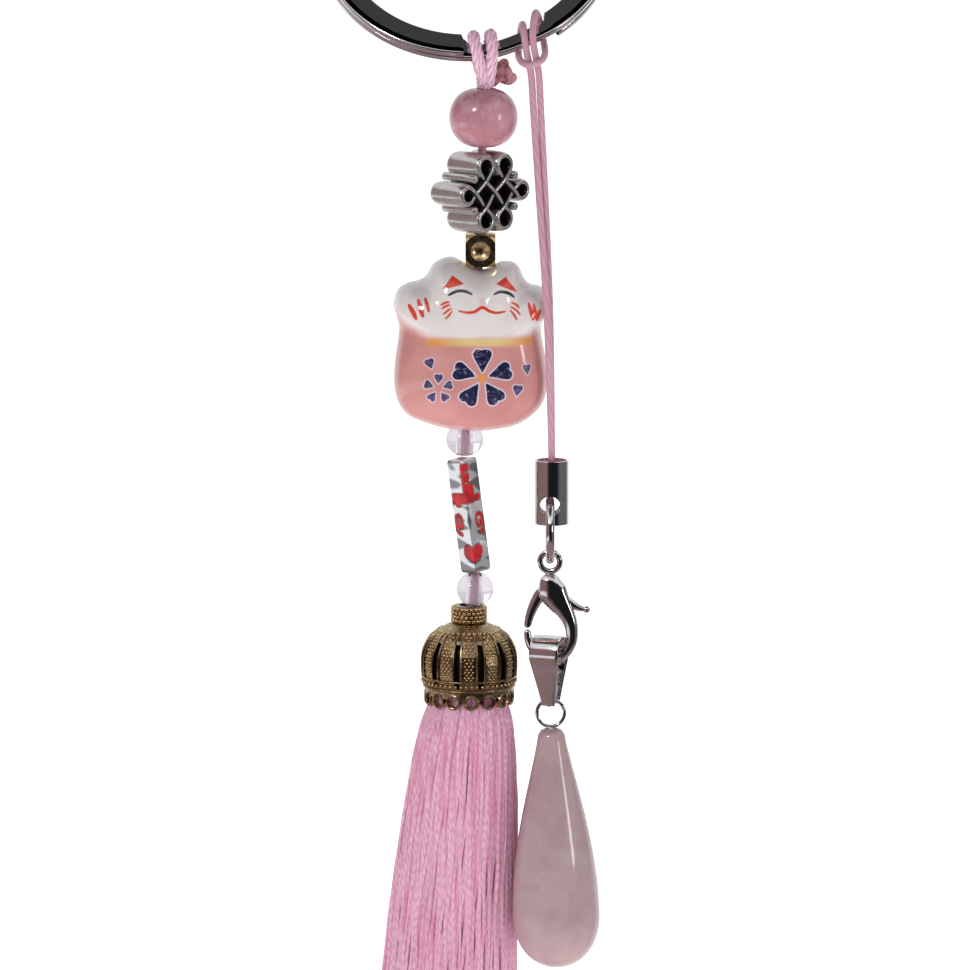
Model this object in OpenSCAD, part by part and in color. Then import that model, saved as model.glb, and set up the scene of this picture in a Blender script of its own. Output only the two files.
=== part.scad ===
// Hanging charm key ring: a flat split ring carries a beaded tassel string and
// a looped cord with a crimped end, lobster clasp, bail and stone drop.
// Frame: origin at the centre of the split ring, +Z up, +X to the right, -Y to the front.

/* [Split ring] */
// Outside diameter of the split ring
ring_od = 35; // [32:0.5:36]
// Radial width of the flat wire
ring_w = 2.8; // [2.4:0.1:3]
// Radial width of the wire where it crosses from one turn to the other
cross_w = 1.9; // [1.6:0.1:1.9]
// Thickness of one turn
turn_t = 0.9; // [0.7:0.05:0.9]
// Lean of the ring, its lower side towards the front
ring_tilt = 42; // [38:1:46]

/* [Beads] */
// Width of the round stone bead
stone_w = 8; // [7:0.1:8.4]
// Height of the round stone bead
stone_h = 6.84; // [6:0.02:6.84]
// Thickness of the endless knot bead, front to back
knot_t = 5.6; // [4.5:0.1:5.8]
// Side of the square spacer bead
spacer_w = 3.5; // [3:0.1:3.6]
// Depth of the porcelain cat bead, front to back
cat_d = 11.4; // [9:0.2:11.6]
// Width of a clear glass bead
glass_w = 4.44; // [4:0.02:4.5]
// Side of the square enamelled bead
bar_w = 2.6; // [2.4:0.05:2.7]
// Length of the enamelled bead
bar_l = 13.5; // [13:0.1:13.6]

/* [Tassel] */
// Largest outside radius of the crown cap
cap_r = 5.55; // [5.2:0.05:5.7]
// Number of ribs round the cap
cap_ribs = 12; // [8:1:14]
// Number of holes round the cap's rim
rim_holes = 15; // [12:1:16]
// Lowest point of the tassel's threads
tassel_end_z = -148; // [-150:1:-140]

/* [Strap and clasp] */
// Diameter of the strap cord
strap_d = 0.84; // [0.7:0.02:0.86]
// Outside diameter of the crimped end tube
tube_od = 4; // [3.6:0.1:4.1]
// Length of the crimped end tube
tube_l = 7.5; // [7.2:0.1:7.6]
// Wire diameter of the link ring
link_wire = 1.04; // [0.9:0.02:1.04]
// Turn of the clasp about its hanging line
clasp_yaw = -8; // [-10:1:0]
// Turn of the bail about its hanging line
bail_yaw = -21; // [-24:1:-16]
// Widest radius of the stone drop
drop_r = 5.16; // [4.6:0.02:5.2]
// Length of the stone drop
drop_l = 28.8; // [26:0.2:29]

/* [Hidden] */

charm_y = -10.8;                // the string of beads hangs in this plane
strap_y = -14.2;                // the clasp and the drop hang in this plane
cross_from = 361;               // angle where the wire starts to cross, from the bottom
cross_to = 392;                 // and where it has crossed
ring_from = 38;                 // free end of the rear turn
ring_to = 719;                  // free end of the front turn
ring_steps = 152;
hitch_r = 1.25;                 // clear radius inside both hitches, round the wire
charm_hitch_at = 7;             // angle of the bead string's hitch along the ring
strap_hitch_at = 26;            // angle of the strap's hitch along the ring
charm_cord_d = 1.0;

rondelle_at = [2.0, charm_y, -20.1];
knot_at = [1.6, charm_y, -28.75];
spacer_at = [1.65, charm_y, -35.6];
cat_at = [0.8, charm_y, -47.2];
glass_upper_at = [-0.2, charm_y, -58.05];
bar_top = [-0.6, charm_y, -60.35];
bar_lean = 7.4;
glass_lower_at = [1.0, charm_y, -75.9];
cap_at = [0.3, charm_y, 0];
neck_top_z = -77.82;
neck_end_z = -79.8;
rim_z = -89.6;
tube_top = [10.0, strap_y, -60];
tube_end_z = tube_top[2] - tube_l;
link_r = 3.5;
link_at = [9.8, strap_y, tube_end_z - 0.8];
eye_at = [9.8, strap_y, link_at[2] - link_r + 0.3 - 0.55];
bail_at = eye_at + [-0.1, 0, -10.9];
drop_pin_at = eye_at + [0.12, 0, -17.0];
drop_eye_r = 1.62;
drop_eye_wire = 0.22;
drop_eye_at = drop_pin_at + [0, 0, 0.3 + drop_eye_wire + 0.03 - drop_eye_r];
drop_top = drop_eye_at + [-0.1, 0, -1.75];
drop_lean = 1.6;

// Route of the strap's cord: up from the tube, through its own bight, twice round the wire and down.
strap_route = [
    [10.0, -14.64, -60.3], [9.77, -15.13, -52], [9.36, -15.3, -42], [8.56, -13.88, -30],
    [7.88, -12.81, -20], [7.6, -12.3, -15.5], [7.3, -12.1, -13.7], [7.0, -11.95, -12.2],
    [6.8, -11.8, -10.8], [6.65, -11.3, -9.7], [6.55, -10.3, -9.25], [6.4, -9.3, -9.75],
    [6.25, -8.75, -10.9], [6.1, -8.9, -12.1], [6.1, -9.8, -13.0], [6.35, -11.0, -13.45],
    [6.75, -12.1, -13.7], [7.35, -12.85, -13.8], [8.1, -12.95, -13.6], [8.8, -12.4, -13.2],
    [9.15, -11.3, -12.7], [9.15, -10.1, -12.1], [9.0, -8.85, -11.3], [8.7, -8.05, -9.75],
    [8.35, -8.45, -8.4], [8.1, -9.7, -7.95], [7.9, -10.85, -8.4], [7.75, -11.6, -9.6],
    [7.75, -11.95, -10.8], [7.95, -12.05, -12.2], [8.25, -12.15, -13.7], [8.5, -12.3, -15.5],
    [8.73, -12.59, -20], [9.24, -13.32, -30], [9.74, -14.5, -42], [9.93, -14.27, -52],
    [10.0, -13.76, -60.3]];

// Route of the bead string's cord, from the hitch down through the beads.
charm_route = [
    [2.0, charm_y, -16.5], [2.0, charm_y, -20], [1.7, charm_y, -28], [1.55, charm_y, -35],
    [1.2, charm_y, -41], [0.8, charm_y, -47], [0.45, charm_y, -52], [0.12, charm_y, -55.8],
    [-0.12, charm_y, -58], [-0.3, charm_y, -59.8]];
lower_route = [
    [-0.5, charm_y, -60.25], [-0.44, charm_y, -61.6], [-0.12, charm_y, -64], [0.26, charm_y, -67],
    [0.65, charm_y, -70], [0.95, charm_y, -72.6], [1.02, charm_y, -74.2], [0.95, charm_y, -75.9],
    [0.8, charm_y, -77.6]];
tassel_route = [[0.6, charm_y, -78.0], [0.35, charm_y, -79.2], [0.3, charm_y, -82]];

// Outline of the cat bead seen from the front: ears, raised paws and round bottom.
cat_outline = [
    [-0.7, 9.85], [-1.6, 10.4], [-2.6, 10.75], [-3.8, 10.5], [-4.8, 9.8], [-5.6, 8.5], [-6.6, 7.95],
    [-7.8, 7.65], [-8.9, 6.8], [-9.35, 5.2], [-9, 3.8], [-8.7, 2.6], [-8.85, 1], [-9.2, -1.5],
    [-9.3, -4], [-8.9, -6.2], [-7.8, -7.8], [-6, -8.7], [-3, -9.55], [0.5, -9.8], [3.5, -9.5],
    [5.5, -8.9], [7.2, -7.7], [8.3, -6.2], [8.75, -4], [8.6, -2], [8.3, 0], [8, 1.8],
    [8.2, 3.2], [9.1, 4.4], [9.4, 5.5], [9, 6.5], [7.8, 7.3], [6.6, 7.6], [5.95, 8.3],
    [5.4, 9.5], [4.6, 10.15], [3.2, 10.2], [2.2, 9.6], [0.9, 9.3]];

// Height, half width, half depth, and shift to the side and to the back of the tassel's threads.
tassel_shape = [
    [-86, 3.6, 3.6, 0.3, 0], [-88.4, 4.1, 4.1, 0.3, 0], [-89.7, 4.2, 4.2, 0.3, 0],
    [-90.2, 4.9, 4.8, 0.25, 0], [-91.2, 5.4, 5.2, 0.1, 0.1], [-95.8, 6.3, 5.7, -0.3, 0.4],
    [-102, 6.9, 6.1, -0.7, 0.8], [-108, 7.4, 6.5, -1.2, 1.1], [-115, 7.8, 6.8, -1.7, 1.4],
    [-122, 8.2, 7.2, -2.1, 1.6], [-131, 8.7, 7.7, -2.5, 1.7], [-140, 9.1, 8.2, -2.7, 1.8],
    [tassel_end_z, 9.2, 8.4, -2.8, 1.8]];

// Centre line and width of the clasp's hook, its gate and its thumb lever, from the eye's centre.
hook_line = [
    [0, -1.45], [0.05, -2.5], [0.35, -3.6], [1.0, -4.7], [1.75, -5.8], [2.35, -7.0], [2.62, -8.3],
    [2.45, -9.7], [1.75, -10.9], [0.6, -11.55], [-0.7, -11.4], [-1.8, -10.7], [-2.45, -9.6],
    [-2.62, -8.6], [-2.64, -8.15]];
hook_w = [1.7, 2.7, 3.4, 2.9, 2.2, 1.75, 1.5, 1.4, 1.3, 1.2, 1.1, 1.0, 0.95, 0.85, 0.6];
hook_t = [1.5, 2.1, 2.2, 2.0, 1.8, 1.65, 1.55, 1.45, 1.35, 1.25, 1.2, 1.15, 1.1, 1.0, 0.8];
pivot = [-0.1, -3.2];
gate_line = [[0.2, -3.0], [-0.9, -3.7], [-1.7, -4.9], [-2.3, -6.3], [-2.6, -7.5], [-2.62, -7.95]];
gate_w = [1.2, 1.5, 1.35, 1.1, 0.9, 0.65];
thumb_line = [[0.1, -3.3], [1.2, -4.0], [2.4, -4.9], [3.5, -5.45], [4.3, -5.6]];
thumb_w = [1.1, 1.2, 1.1, 0.75, 0.5];
gate_t = 0.86;
slot_t = 0.96;
slot_outline = [[-3.4, -2.6], [-1.6, -1.95], [-0.4, -1.75], [0.6, -1.85], [2.0, -2.7], [4, -3.6],
    [4, -6.75], [2.6, -6.1], [1.5, -5.15], [0.5, -5.1], [-0.6, -5.3], [-3.4, -5.6]];

function unit(v) = v / norm(v);
function tangents(p) = [for (i = [0 : len(p) - 1])
    unit(p[min(i + 1, len(p) - 1)] - p[max(i - 1, 0)])];
function carried(t, first) = [for (i = 0, n = unit(first - (first * t[0]) * t[0]); i < len(t);
    i = i + 1, n = i < len(t) ? unit(n - (n * t[i]) * t[i]) : n) n];
function eased(x) = x <= 0 ? 0 : x >= 1 ? 1 : x * x * (3 - 2 * x);
function spline_point(a, b, c, d, t) = 0.5 * (2 * b + (c - a) * t
    + (2 * a - 5 * b + 4 * c - d) * t * t + (3 * b - 3 * c + d - a) * t * t * t);
function smooth_line(p, n) = [for (i = [0 : len(p) - 2]) for (k = [0 : n - 1])
    spline_point(p[max(i - 1, 0)], p[i], p[i + 1], p[min(i + 2, len(p) - 1)], k / n),
    p[len(p) - 1]];
function smooth_loop(p, n) = let (m = len(p)) [for (i = [0 : m - 1]) for (k = [0 : n - 1])
    spline_point(p[(i + m - 1) % m], p[i], p[(i + 1) % m], p[(i + 2) % m], k / n)];

// A point at radius r, angle phi from the bottom and offset a along the ring's axis.
function ring_point(r, phi, a) = let (y = a, z = -r * cos(phi))
    [r * sin(phi), y * cos(ring_tilt) + z * sin(ring_tilt),
        -y * sin(ring_tilt) + z * cos(ring_tilt)];
function ring_along(phi) = [cos(phi), sin(phi) * sin(ring_tilt), sin(phi) * cos(ring_tilt)];
function cross_share(phi) = eased((phi - cross_from) / (cross_to - cross_from));
function wire_a(phi) = (turn_t + 0.05) * (0.5 - cross_share(phi));
function wire_w(phi) = ring_w - (ring_w - cross_w)
    * min(eased((phi - cross_from + 2) / 3), eased((cross_to + 6 - phi) / 3));
function hitch_centre(at) = ring_point(ring_od / 2 - cross_w / 2, at, wire_a(at + 360));

// Closed solid through rings of points, each ring with the same number of points.
module loft(rings) {
    n = len(rings[0]);
    m = len(rings);
    polyhedron(
        points = [for (r = rings) each r],
        faces = [
            [for (k = [0 : n - 1]) k],
            [for (k = [n - 1 : -1 : 0]) (m - 1) * n + k],
            for (i = [0 : m - 2]) for (k = [0 : n - 1]) each [
                [i * n + k, (i + 1) * n + k, (i + 1) * n + (k + 1) % n],
                [i * n + k, (i + 1) * n + (k + 1) % n, i * n + (k + 1) % n]]],
        convexity = 6);
}

// Round tube of radius r along a line of points.
module tube(line, r, first = [0, 1, 0], sides = 8) {
    t = tangents(line);
    n = carried(t, first);
    loft([for (i = [0 : len(line) - 1]) let (b = cross(t[i], n[i]))
        [for (k = [0 : sides - 1]) line[i]
            + r * (cos(k * 360 / sides) * n[i] + sin(k * 360 / sides) * b)]]);
}

// Flattened bar in the XZ plane: line of [x, z], width across it and thickness along Y.
module flat_bar(line, width, thick, sides = 12) {
    p = [for (q = line) [q[0], 0, q[1]]];
    t = tangents(p);
    loft([for (i = [0 : len(p) - 1]) let (n = cross([0, 1, 0], t[i]))
        [for (k = [0 : sides - 1]) let (a = (k + 0.5) * 360 / sides, c = cos(a), s = sin(a))
            p[i] + width[i] / 2 * sign(c) * pow(abs(c), 0.7) * n
                + [0, thick[i] / 2 * sign(s) * pow(abs(s), 0.7), 0]]]);
}

// Solid of revolution with a bulging side and a bore, standing on its axis.
module bored_barrel(w, h, bore, power = 0.9, last = 68, steps = 14) {
    rotate_extrude($fn = 64)
        polygon([[bore, -h / 2 * 0.985],
            for (i = [0 : steps]) let (a = -last + 2 * last * i / steps)
                [w / 2 * pow(cos(a), power), h / 2 * sin(a) / sin(last)],
            [bore, h / 2 * 0.985]]);
}

module ring_about_y(r, wire) {
    rotate([90, 0, 0]) rotate_extrude($fn = 64) translate([r, 0]) circle(r = wire, $fn = 24);
}

module split_ring() {
    corner = 0.22;
    color("silver") loft([for (i = [0 : ring_steps])
        let (phi = ring_from + (ring_to - ring_from) * i / ring_steps,
            blunt = i == 0 || i == ring_steps ? 0.8 : 1,
            w = wire_w(phi) * blunt, t = turn_t * blunt)
        [for (q = [0 : 3]) for (k = [0 : 2])
            let (a = q * 90 + k * 45, cx = q == 0 || q == 3 ? 1 : -1, cy = q < 2 ? 1 : -1)
            ring_point(ring_od / 2 - w / 2 + cx * (w / 2 - corner) + corner * cos(a),
                phi, wire_a(phi) + cy * (t / 2 - corner) + corner * sin(a))]]);
}

module charm_hitch() {
    c = hitch_centre(charm_hitch_at);
    s = ring_along(charm_hitch_at);
    r = hitch_r + 0.6;
    f = unit(cross(s, [0, 0, 1]));
    u = cross(f, s) * -1;
    up = u[2] > 0 ? u : -u;
    loop = [[0.2, 0.35, -3.6], [0.35, 0.8, -2.8], [0.6, 1.45, -1.7],
        for (a = [-25 : 25 : 205]) [0.75, r * cos(a), r * sin(a)],
        [0.6, -1.45, -1.7], [0.35, -0.8, -2.8], [0.2, -0.35, -3.6]];
    color("pink") {
        for (side = [-1, 1])
            tube([for (q = loop) c + side * q[0] * s + q[1] * f + q[2] * up], 0.58, s);
        translate([c[0] + 0.05, charm_y, c[2] - 4.0]) cylinder(h = 0.9, r = 0.85, $fn = 32);
    }
}

module hitch_tail() {
    c = hitch_centre(charm_hitch_at);
    color("lightpink") hull() {
        translate(c + [1.9, 1.9, -2.4]) sphere(r = 0.85, $fn = 24);
        translate(c + [2.8, 2.3, -3.2]) sphere(r = 0.75, $fn = 24);
        translate(c + [1.2, 1.9, -3.4]) sphere(r = 0.6, $fn = 24);
    }
}

module charm_cord_upper() {
    color("pink") tube(smooth_line(charm_route, 3), charm_cord_d / 2);
}

module charm_cord_lower() {
    color("pink") tube(smooth_line(lower_route, 3), charm_cord_d / 2);
}

module tassel_cord() {
    color("pink") tube(smooth_line(tassel_route, 3), charm_cord_d / 2);
}

module stone_rondelle() {
    color("rosybrown") translate(rondelle_at) bored_barrel(stone_w, stone_h, 0.8, 0.75, 76);
}

module glass_bead(at) {
    color("aliceblue", 0.5) translate(at) bored_barrel(glass_w, 3.72, 0.8);
}

module glass_bead_upper() { glass_bead(glass_upper_at); }

module glass_bead_lower() { glass_bead(glass_lower_at); }

// Flat figure of the endless knot: filled outline, or the sunk areas between its cords.
knot_step = 3.1;                // distance between crossings along the bead's axes
knot_bar = 0.52;                // width of a cord of the knot
knot_loops = [[1.55, 3.25], [-1.55, 3.25], [1.55, -3.25], [-1.55, -3.25]];

module knot_outline() {
    rotate(45) square(knot_step * sqrt(2) + 1.0, center = true);
    for (p = knot_loops) translate(p) circle(r = 1.42, $fn = 40);
    for (side = [-1, 1]) translate([side * 4.4, 0]) circle(r = 1.25, $fn = 40);
}

module knot_sunk() {
    difference() {
        union() {
            rotate(45) square(knot_step * sqrt(2) + 0.3, center = true);
            for (p = knot_loops) translate(p) circle(r = 1.0, $fn = 40);
            for (side = [-1, 1]) translate([side * 4.4, 0]) circle(r = 0.85, $fn = 40);
        }
        for (way = [-45, 45]) rotate(way) for (k = [-1, 0, 1])
            translate([0, k * knot_step / sqrt(2)]) square([7.4, knot_bar], center = true);
    }
}

module endless_knot_bead() {
    color("silver") translate(knot_at) rotate([0, 0, 45]) difference() {
        rotate([90, 0, 0]) linear_extrude(knot_t, center = true) knot_outline();
        for (side = [0, 180]) rotate([0, 0, side]) translate([0, -knot_t / 2 + 0.8, 0])
            rotate([90, 0, 0]) linear_extrude(2) knot_sunk();
        cylinder(h = 20, r = 1.1, center = true, $fn = 48);
    }
}

module spacer_bead() {
    color("darkkhaki") translate(spacer_at) difference() {
        intersection() {
            cube([spacer_w, spacer_w, 3.75], center = true);
            sphere(r = 2.62, $fn = 64);
        }
        cylinder(h = 8, r = 0.8, center = true, $fn = 40);
        for (a = [0 : 90 : 270]) rotate([0, 0, a]) translate([0, -spacer_w / 2 - 1.1, 0])
            sphere(r = 1.6, $fn = 48);
    }
}

module cat_bead() {
    rings = 7;
    outline = smooth_loop(cat_outline, 2);
    color("mistyrose") translate(cat_at) difference() {
        loft([for (i = [-rings : rings])
            let (a = 86 * i / rings, grow = pow(cos(a), 0.5))
            [for (p = outline) [p[0] * grow, cat_d / 2 * sin(a), p[1] * grow]]]);
        cylinder(h = 40, r = 1.45, center = true, $fn = 40);
        translate([spacer_at[0] - cat_at[0], 0, 9.55]) cylinder(h = 6, r = 2.75, $fn = 40);
        translate([glass_upper_at[0] - cat_at[0], 0, -12]) cylinder(h = 3.4, r = 2.5, $fn = 40);
    }
}

// Sunk fields on one side of the enamelled bead, counted from its middle.
module enamel_fields(depth) {
    for (up = [-1, 1]) translate([0, 0, up * 3.9]) cube([1.3, depth, 1.5], center = true);
    translate([0, 0, 5.5]) cube([0.6, depth, 0.9], center = true);
    for (side = [-1, 1]) translate([side * 0.62, 0, 0]) rotate([90, 0, 0])
        cylinder(h = depth, r = 0.45, center = true, $fn = 24);
}

module on_bar() {
    translate(bar_top) rotate([0, -bar_lean, 0]) rotate([0, 0, 45])
        translate([0, 0, -bar_l / 2]) children();
}

module enamel_bead() {
    color("gainsboro") on_bar() difference() {
        cube([bar_w, bar_w, bar_l], center = true);
        cylinder(h = 20, r = 0.75, center = true, $fn = 32);
        for (a = [0 : 90 : 270]) rotate([0, 0, a]) translate([0, -bar_w / 2, 0])
            enamel_fields(0.5);
    }
}

module enamel_inlay() {
    color("crimson") on_bar() for (a = [0 : 90 : 270]) rotate([0, 0, a])
        translate([0, -bar_w / 2 + 0.15, 0]) enamel_fields(0.2);
}

module cap_shell() {
    outer = [[1.86, neck_end_z], [2.3, -79.95], [3.55, -80.6], [4.5, -81.45], [5.05, -82.35],
        [5.38, -83.2], [cap_r, -84.2], [cap_r, -85.5], [5.42, -86.5], [5.25, -87.3]];
    rotate_extrude($fn = 72) polygon([
        [1.86, neck_top_z], each outer, [5.15, -88.3], [4.6, -88.3], [4.75, -87.3], [5.0, -85.5],
        [5.0, -84.3], [4.6, -82.7], [3.9, -81.6], [2.9, -80.8], [1.2, -80.2], [1.2, neck_top_z]]);
}

module tassel_cap() {
    color("darkgoldenrod") translate([cap_at[0], charm_y, 0]) difference() {
        union() {
            cap_shell();
            for (z = [neck_top_z - 0.3, neck_end_z + 0.25]) translate([0, 0, z])
                rotate_extrude($fn = 48) translate([1.8, 0]) circle(r = 0.24, $fn = 16);
            for (k = [0 : rim_holes - 1]) rotate([0, 0, k * 360 / rim_holes + 3])
                translate([0, -4.55, -88.65]) rotate([90, 0, 0]) cylinder(h = 0.6, r = 0.93, $fn = 32);
        }
        for (k = [0 : rim_holes - 1]) rotate([0, 0, k * 360 / rim_holes + 3])
            translate([0, -3, -88.65]) rotate([90, 0, 0]) cylinder(h = 4, r = 0.6, $fn = 24);
        for (k = [0 : cap_ribs - 1]) rotate([0, 0, (k + 0.5) * 360 / cap_ribs])
            translate([-0.33, -8, -87]) cube([0.66, 5, 5.2]);
    }
}

module tassel_head() {
    color("hotpink") translate([cap_at[0], charm_y, 0]) difference() {
        rotate_extrude($fn = 48) polygon([[0, -80.9], [1.6, -80.95], [2.8, -81.6], [3.4, -82.6],
            [3.6, -83.7], [3.1, -84.7], [3.1, -85.5], [3.4, -86], [0, -86]]);
        translate([0, 0, -82.1]) cylinder(h = 3, r = 0.56, $fn = 24);
    }
}

module tassel_binding() {
    color("deeppink") translate([cap_at[0], charm_y, 0]) for (z = [-84.75, -85.1, -85.45])
        translate([0, 0, z]) rotate_extrude($fn = 48) translate([3.28, 0]) circle(r = 0.17, $fn = 12);
}

module tassel_skirt() {
    sides = 36;
    color("pink") loft([for (q = tassel_shape) [for (k = [0 : sides - 1])
        let (a = k * 360 / sides)
        [q[3] + q[1] * cos(a), charm_y + q[4] + q[2] * sin(a), q[0]]]]);
}

module strap_cord() {
    color("palevioletred") tube(smooth_line(strap_route, 2), strap_d / 2, [1, 0, 0]);
}

module cord_end_tube() {
    color("silver") translate(tube_top) difference() {
        translate([0, 0, -tube_l]) cylinder(h = tube_l, d = tube_od, $fn = 72);
        translate([0, 0, -tube_l - 1]) cylinder(h = tube_l + 2, d = tube_od - 0.6, $fn = 72);
        translate([link_at[0] - tube_top[0], 0, -tube_l + 2.25]) rotate([90, 0, 0])
            cylinder(h = 10, r = 1.2, center = true, $fn = 40);
    }
}

module cord_plug() {
    color("thistle") translate(tube_top + [0, 0, -3.5])
        cylinder(h = 3.18, d = tube_od - 0.6, $fn = 48);
}

module link_ring() {
    color("silver") translate(link_at) rotate([0, 0, 90]) ring_about_y(link_r, link_wire / 2);
}

module at_clasp() { translate(eye_at) rotate([0, 0, clasp_yaw]) children(); }

module clasp_body() {
    color("silver") at_clasp() difference() {
        union() {
            ring_about_y(1.17, 0.33);
            flat_bar(hook_line, hook_w, hook_t);
        }
        rotate([90, 0, 0]) linear_extrude(slot_t, center = true) polygon(slot_outline);
        translate([pivot[0], 0, pivot[1]]) rotate([90, 0, 0])
            cylinder(h = 6, r = 0.28, center = true, $fn = 24);
    }
}

module clasp_gate() {
    color("gainsboro") at_clasp() difference() {
        union() {
            flat_bar(gate_line, gate_w, [for (w = gate_w) gate_t]);
            flat_bar(thumb_line, thumb_w, [for (w = thumb_w) min(gate_t, w + 0.15)]);
            translate([pivot[0], 0, pivot[1]]) rotate([90, 0, 0])
                cylinder(h = gate_t, r = 0.8, center = true, $fn = 40);
            translate([4.35, 0, -5.6]) sphere(r = 0.38, $fn = 32);
        }
        translate([pivot[0], 0, pivot[1]]) rotate([90, 0, 0])
            cylinder(h = 6, r = 0.31, center = true, $fn = 24);
    }
}

module clasp_pin() {
    color("gray") at_clasp() translate([pivot[0], 0, pivot[1]]) rotate([90, 0, 0])
        cylinder(h = 2.05, r = 0.27, center = true, $fn = 24);
}

module clasp_spring() {
    color("dimgray") at_clasp() translate([pivot[0], 0, pivot[1]]) rotate([90, 0, 0])
        rotate([0, 0, 30]) rotate_extrude(angle = 130, $fn = 48)
            translate([0.9, -slot_t / 2]) square([0.13, slot_t]);
}

// Profile of the folded strip seen along the loop's axis.
module bail_profile(grow) {
    hull() {
        circle(r = 1.72 + grow, $fn = 56);
        translate([0, -6.15]) square([1.2 + 2 * grow, 0.1], center = true);
    }
}

module at_bail() { translate(bail_at) rotate([0, 0, bail_yaw]) children(); }

module bail() {
    color("silver") at_bail() intersection() {
        rotate([90, 0, 90]) linear_extrude(6, center = true) difference() {
            bail_profile(0.38);
            bail_profile(0);
            translate([0, -6.6]) square([1.2, 2], center = true);
        }
        rotate([90, 0, 0]) linear_extrude(12, center = true)
            polygon([[-1.8, 3], [1.8, 3], [1.8, -0.6], [1.0, -6.3], [-0.5, -6.3],
                [-1.8, -0.6]]);
    }
}

module bail_pin() {
    color("gray") translate(drop_pin_at) rotate([0, 0, bail_yaw]) rotate([90, 0, 0])
        cylinder(h = 1.26, r = 0.27, center = true, $fn = 24);
}

module drop_eye() {
    color("silver") {
        translate(drop_eye_at) ring_about_y(drop_eye_r, drop_eye_wire);
        translate(drop_top + [0, 0, -2.6]) cylinder(h = 2.65, r = 0.25, $fn = 24);
    }
}

module quartz_drop() {
    color("mistyrose") translate(drop_top) rotate([0, -drop_lean, 0]) difference() {
        rotate_extrude($fn = 72) polygon([[0, 0], [0.7, -0.05], [1.25, -0.35], [1.6, -0.9],
            for (i = [1 : 12]) let (t = i / 12) [1.6 + (drop_r - 1.6) * pow(sin(90 * t), 1.15),
                -0.9 - (drop_l * 0.785 - 0.9) * t],
            for (i = [1 : 11]) let (a = 90 * i / 11) [drop_r * pow(cos(a), 0.9),
                -drop_l * (0.785 + 0.215 * sin(a))]]);
        rotate([0, drop_lean, 0]) translate([0, 0, -2.65]) cylinder(h = 4, r = 0.25, $fn = 24);
    }
}

split_ring();
charm_hitch();
hitch_tail();
charm_cord_upper();
stone_rondelle();
endless_knot_bead();
spacer_bead();
cat_bead();
glass_bead_upper();
charm_cord_lower();
enamel_bead();
enamel_inlay();
glass_bead_lower();
tassel_cap();
tassel_cord();
tassel_head();
tassel_binding();
tassel_skirt();
strap_cord();
cord_end_tube();
cord_plug();
link_ring();
clasp_body();
clasp_gate();
clasp_pin();
clasp_spring();
bail();
bail_pin();
drop_eye();
quartz_drop();
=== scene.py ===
"""Looks for a hanging charm key ring: beads, tassel, strap cord, clasp and stone drop on a split ring."""

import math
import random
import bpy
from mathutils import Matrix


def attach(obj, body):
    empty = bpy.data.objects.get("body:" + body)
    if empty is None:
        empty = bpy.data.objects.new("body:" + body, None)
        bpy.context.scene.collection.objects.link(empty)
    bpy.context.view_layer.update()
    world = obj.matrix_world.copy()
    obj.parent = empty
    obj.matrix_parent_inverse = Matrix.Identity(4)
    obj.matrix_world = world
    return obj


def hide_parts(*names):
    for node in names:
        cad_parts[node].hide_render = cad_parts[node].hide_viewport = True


bl_info = {
    "name": "Charm key ring",
    "version": (1, 0, 0),
    "blender": (4, 5, 0),
    "location": "3D View > Sidebar > Charm",
    "description": "Builds the detailed pieces of a hanging charm key ring on its packed frame",
    "category": "Object",
}

import bmesh
import bpy
from mathutils import Matrix, Vector, noise

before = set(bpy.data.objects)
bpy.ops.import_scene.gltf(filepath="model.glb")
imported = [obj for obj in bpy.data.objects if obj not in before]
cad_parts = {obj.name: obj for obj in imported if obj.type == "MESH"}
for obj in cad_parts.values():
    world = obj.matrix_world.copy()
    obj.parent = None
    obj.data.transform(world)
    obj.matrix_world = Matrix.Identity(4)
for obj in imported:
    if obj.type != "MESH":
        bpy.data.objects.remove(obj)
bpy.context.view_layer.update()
MM = 0.001


# ---------------------------------------------------------------- settings

class CharmSettings(bpy.types.PropertyGroup):
    """Sizes in millimetres and colours that a user may change."""
    ring_outer: bpy.props.FloatProperty(name="Ring radius", description="Outside radius of the split ring, mm", default=17.5)
    turn: bpy.props.FloatProperty(name="Turn", description="Thickness of one turn of the ring, mm", default=0.9)
    threads: bpy.props.IntProperty(name="Threads", description="Threads in the tassel", default=400, min=40, max=400)
    thread_r: bpy.props.FloatProperty(name="Thread radius", description="Radius of a tassel thread, mm", default=0.25)
    rim_beads: bpy.props.IntProperty(name="Rim holes", description="Holes round the cap's rim", default=15)
    ribs: bpy.props.IntProperty(name="Ribs", description="Slots round the cap", default=12)
    silver: bpy.props.FloatVectorProperty(name="Silver", description="Plated silver", subtype="COLOR", default=(0.80, 0.78, 0.78))
    gold: bpy.props.FloatVectorProperty(name="Gold", description="Antique gold", subtype="COLOR", default=(0.50, 0.37, 0.20))
    silk: bpy.props.FloatVectorProperty(name="Silk", description="Tassel silk", subtype="COLOR", default=(0.84, 0.45, 0.60))
    cord: bpy.props.FloatVectorProperty(name="Cord", description="Strap and hitch cord", subtype="COLOR", default=(0.61, 0.31, 0.41))
    glaze: bpy.props.FloatVectorProperty(name="Glaze", description="Porcelain glaze", subtype="COLOR", default=(0.86, 0.80, 0.78))


def settings():
    return bpy.context.scene.charm_settings


# ---------------------------------------------------------------- shapes

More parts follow.
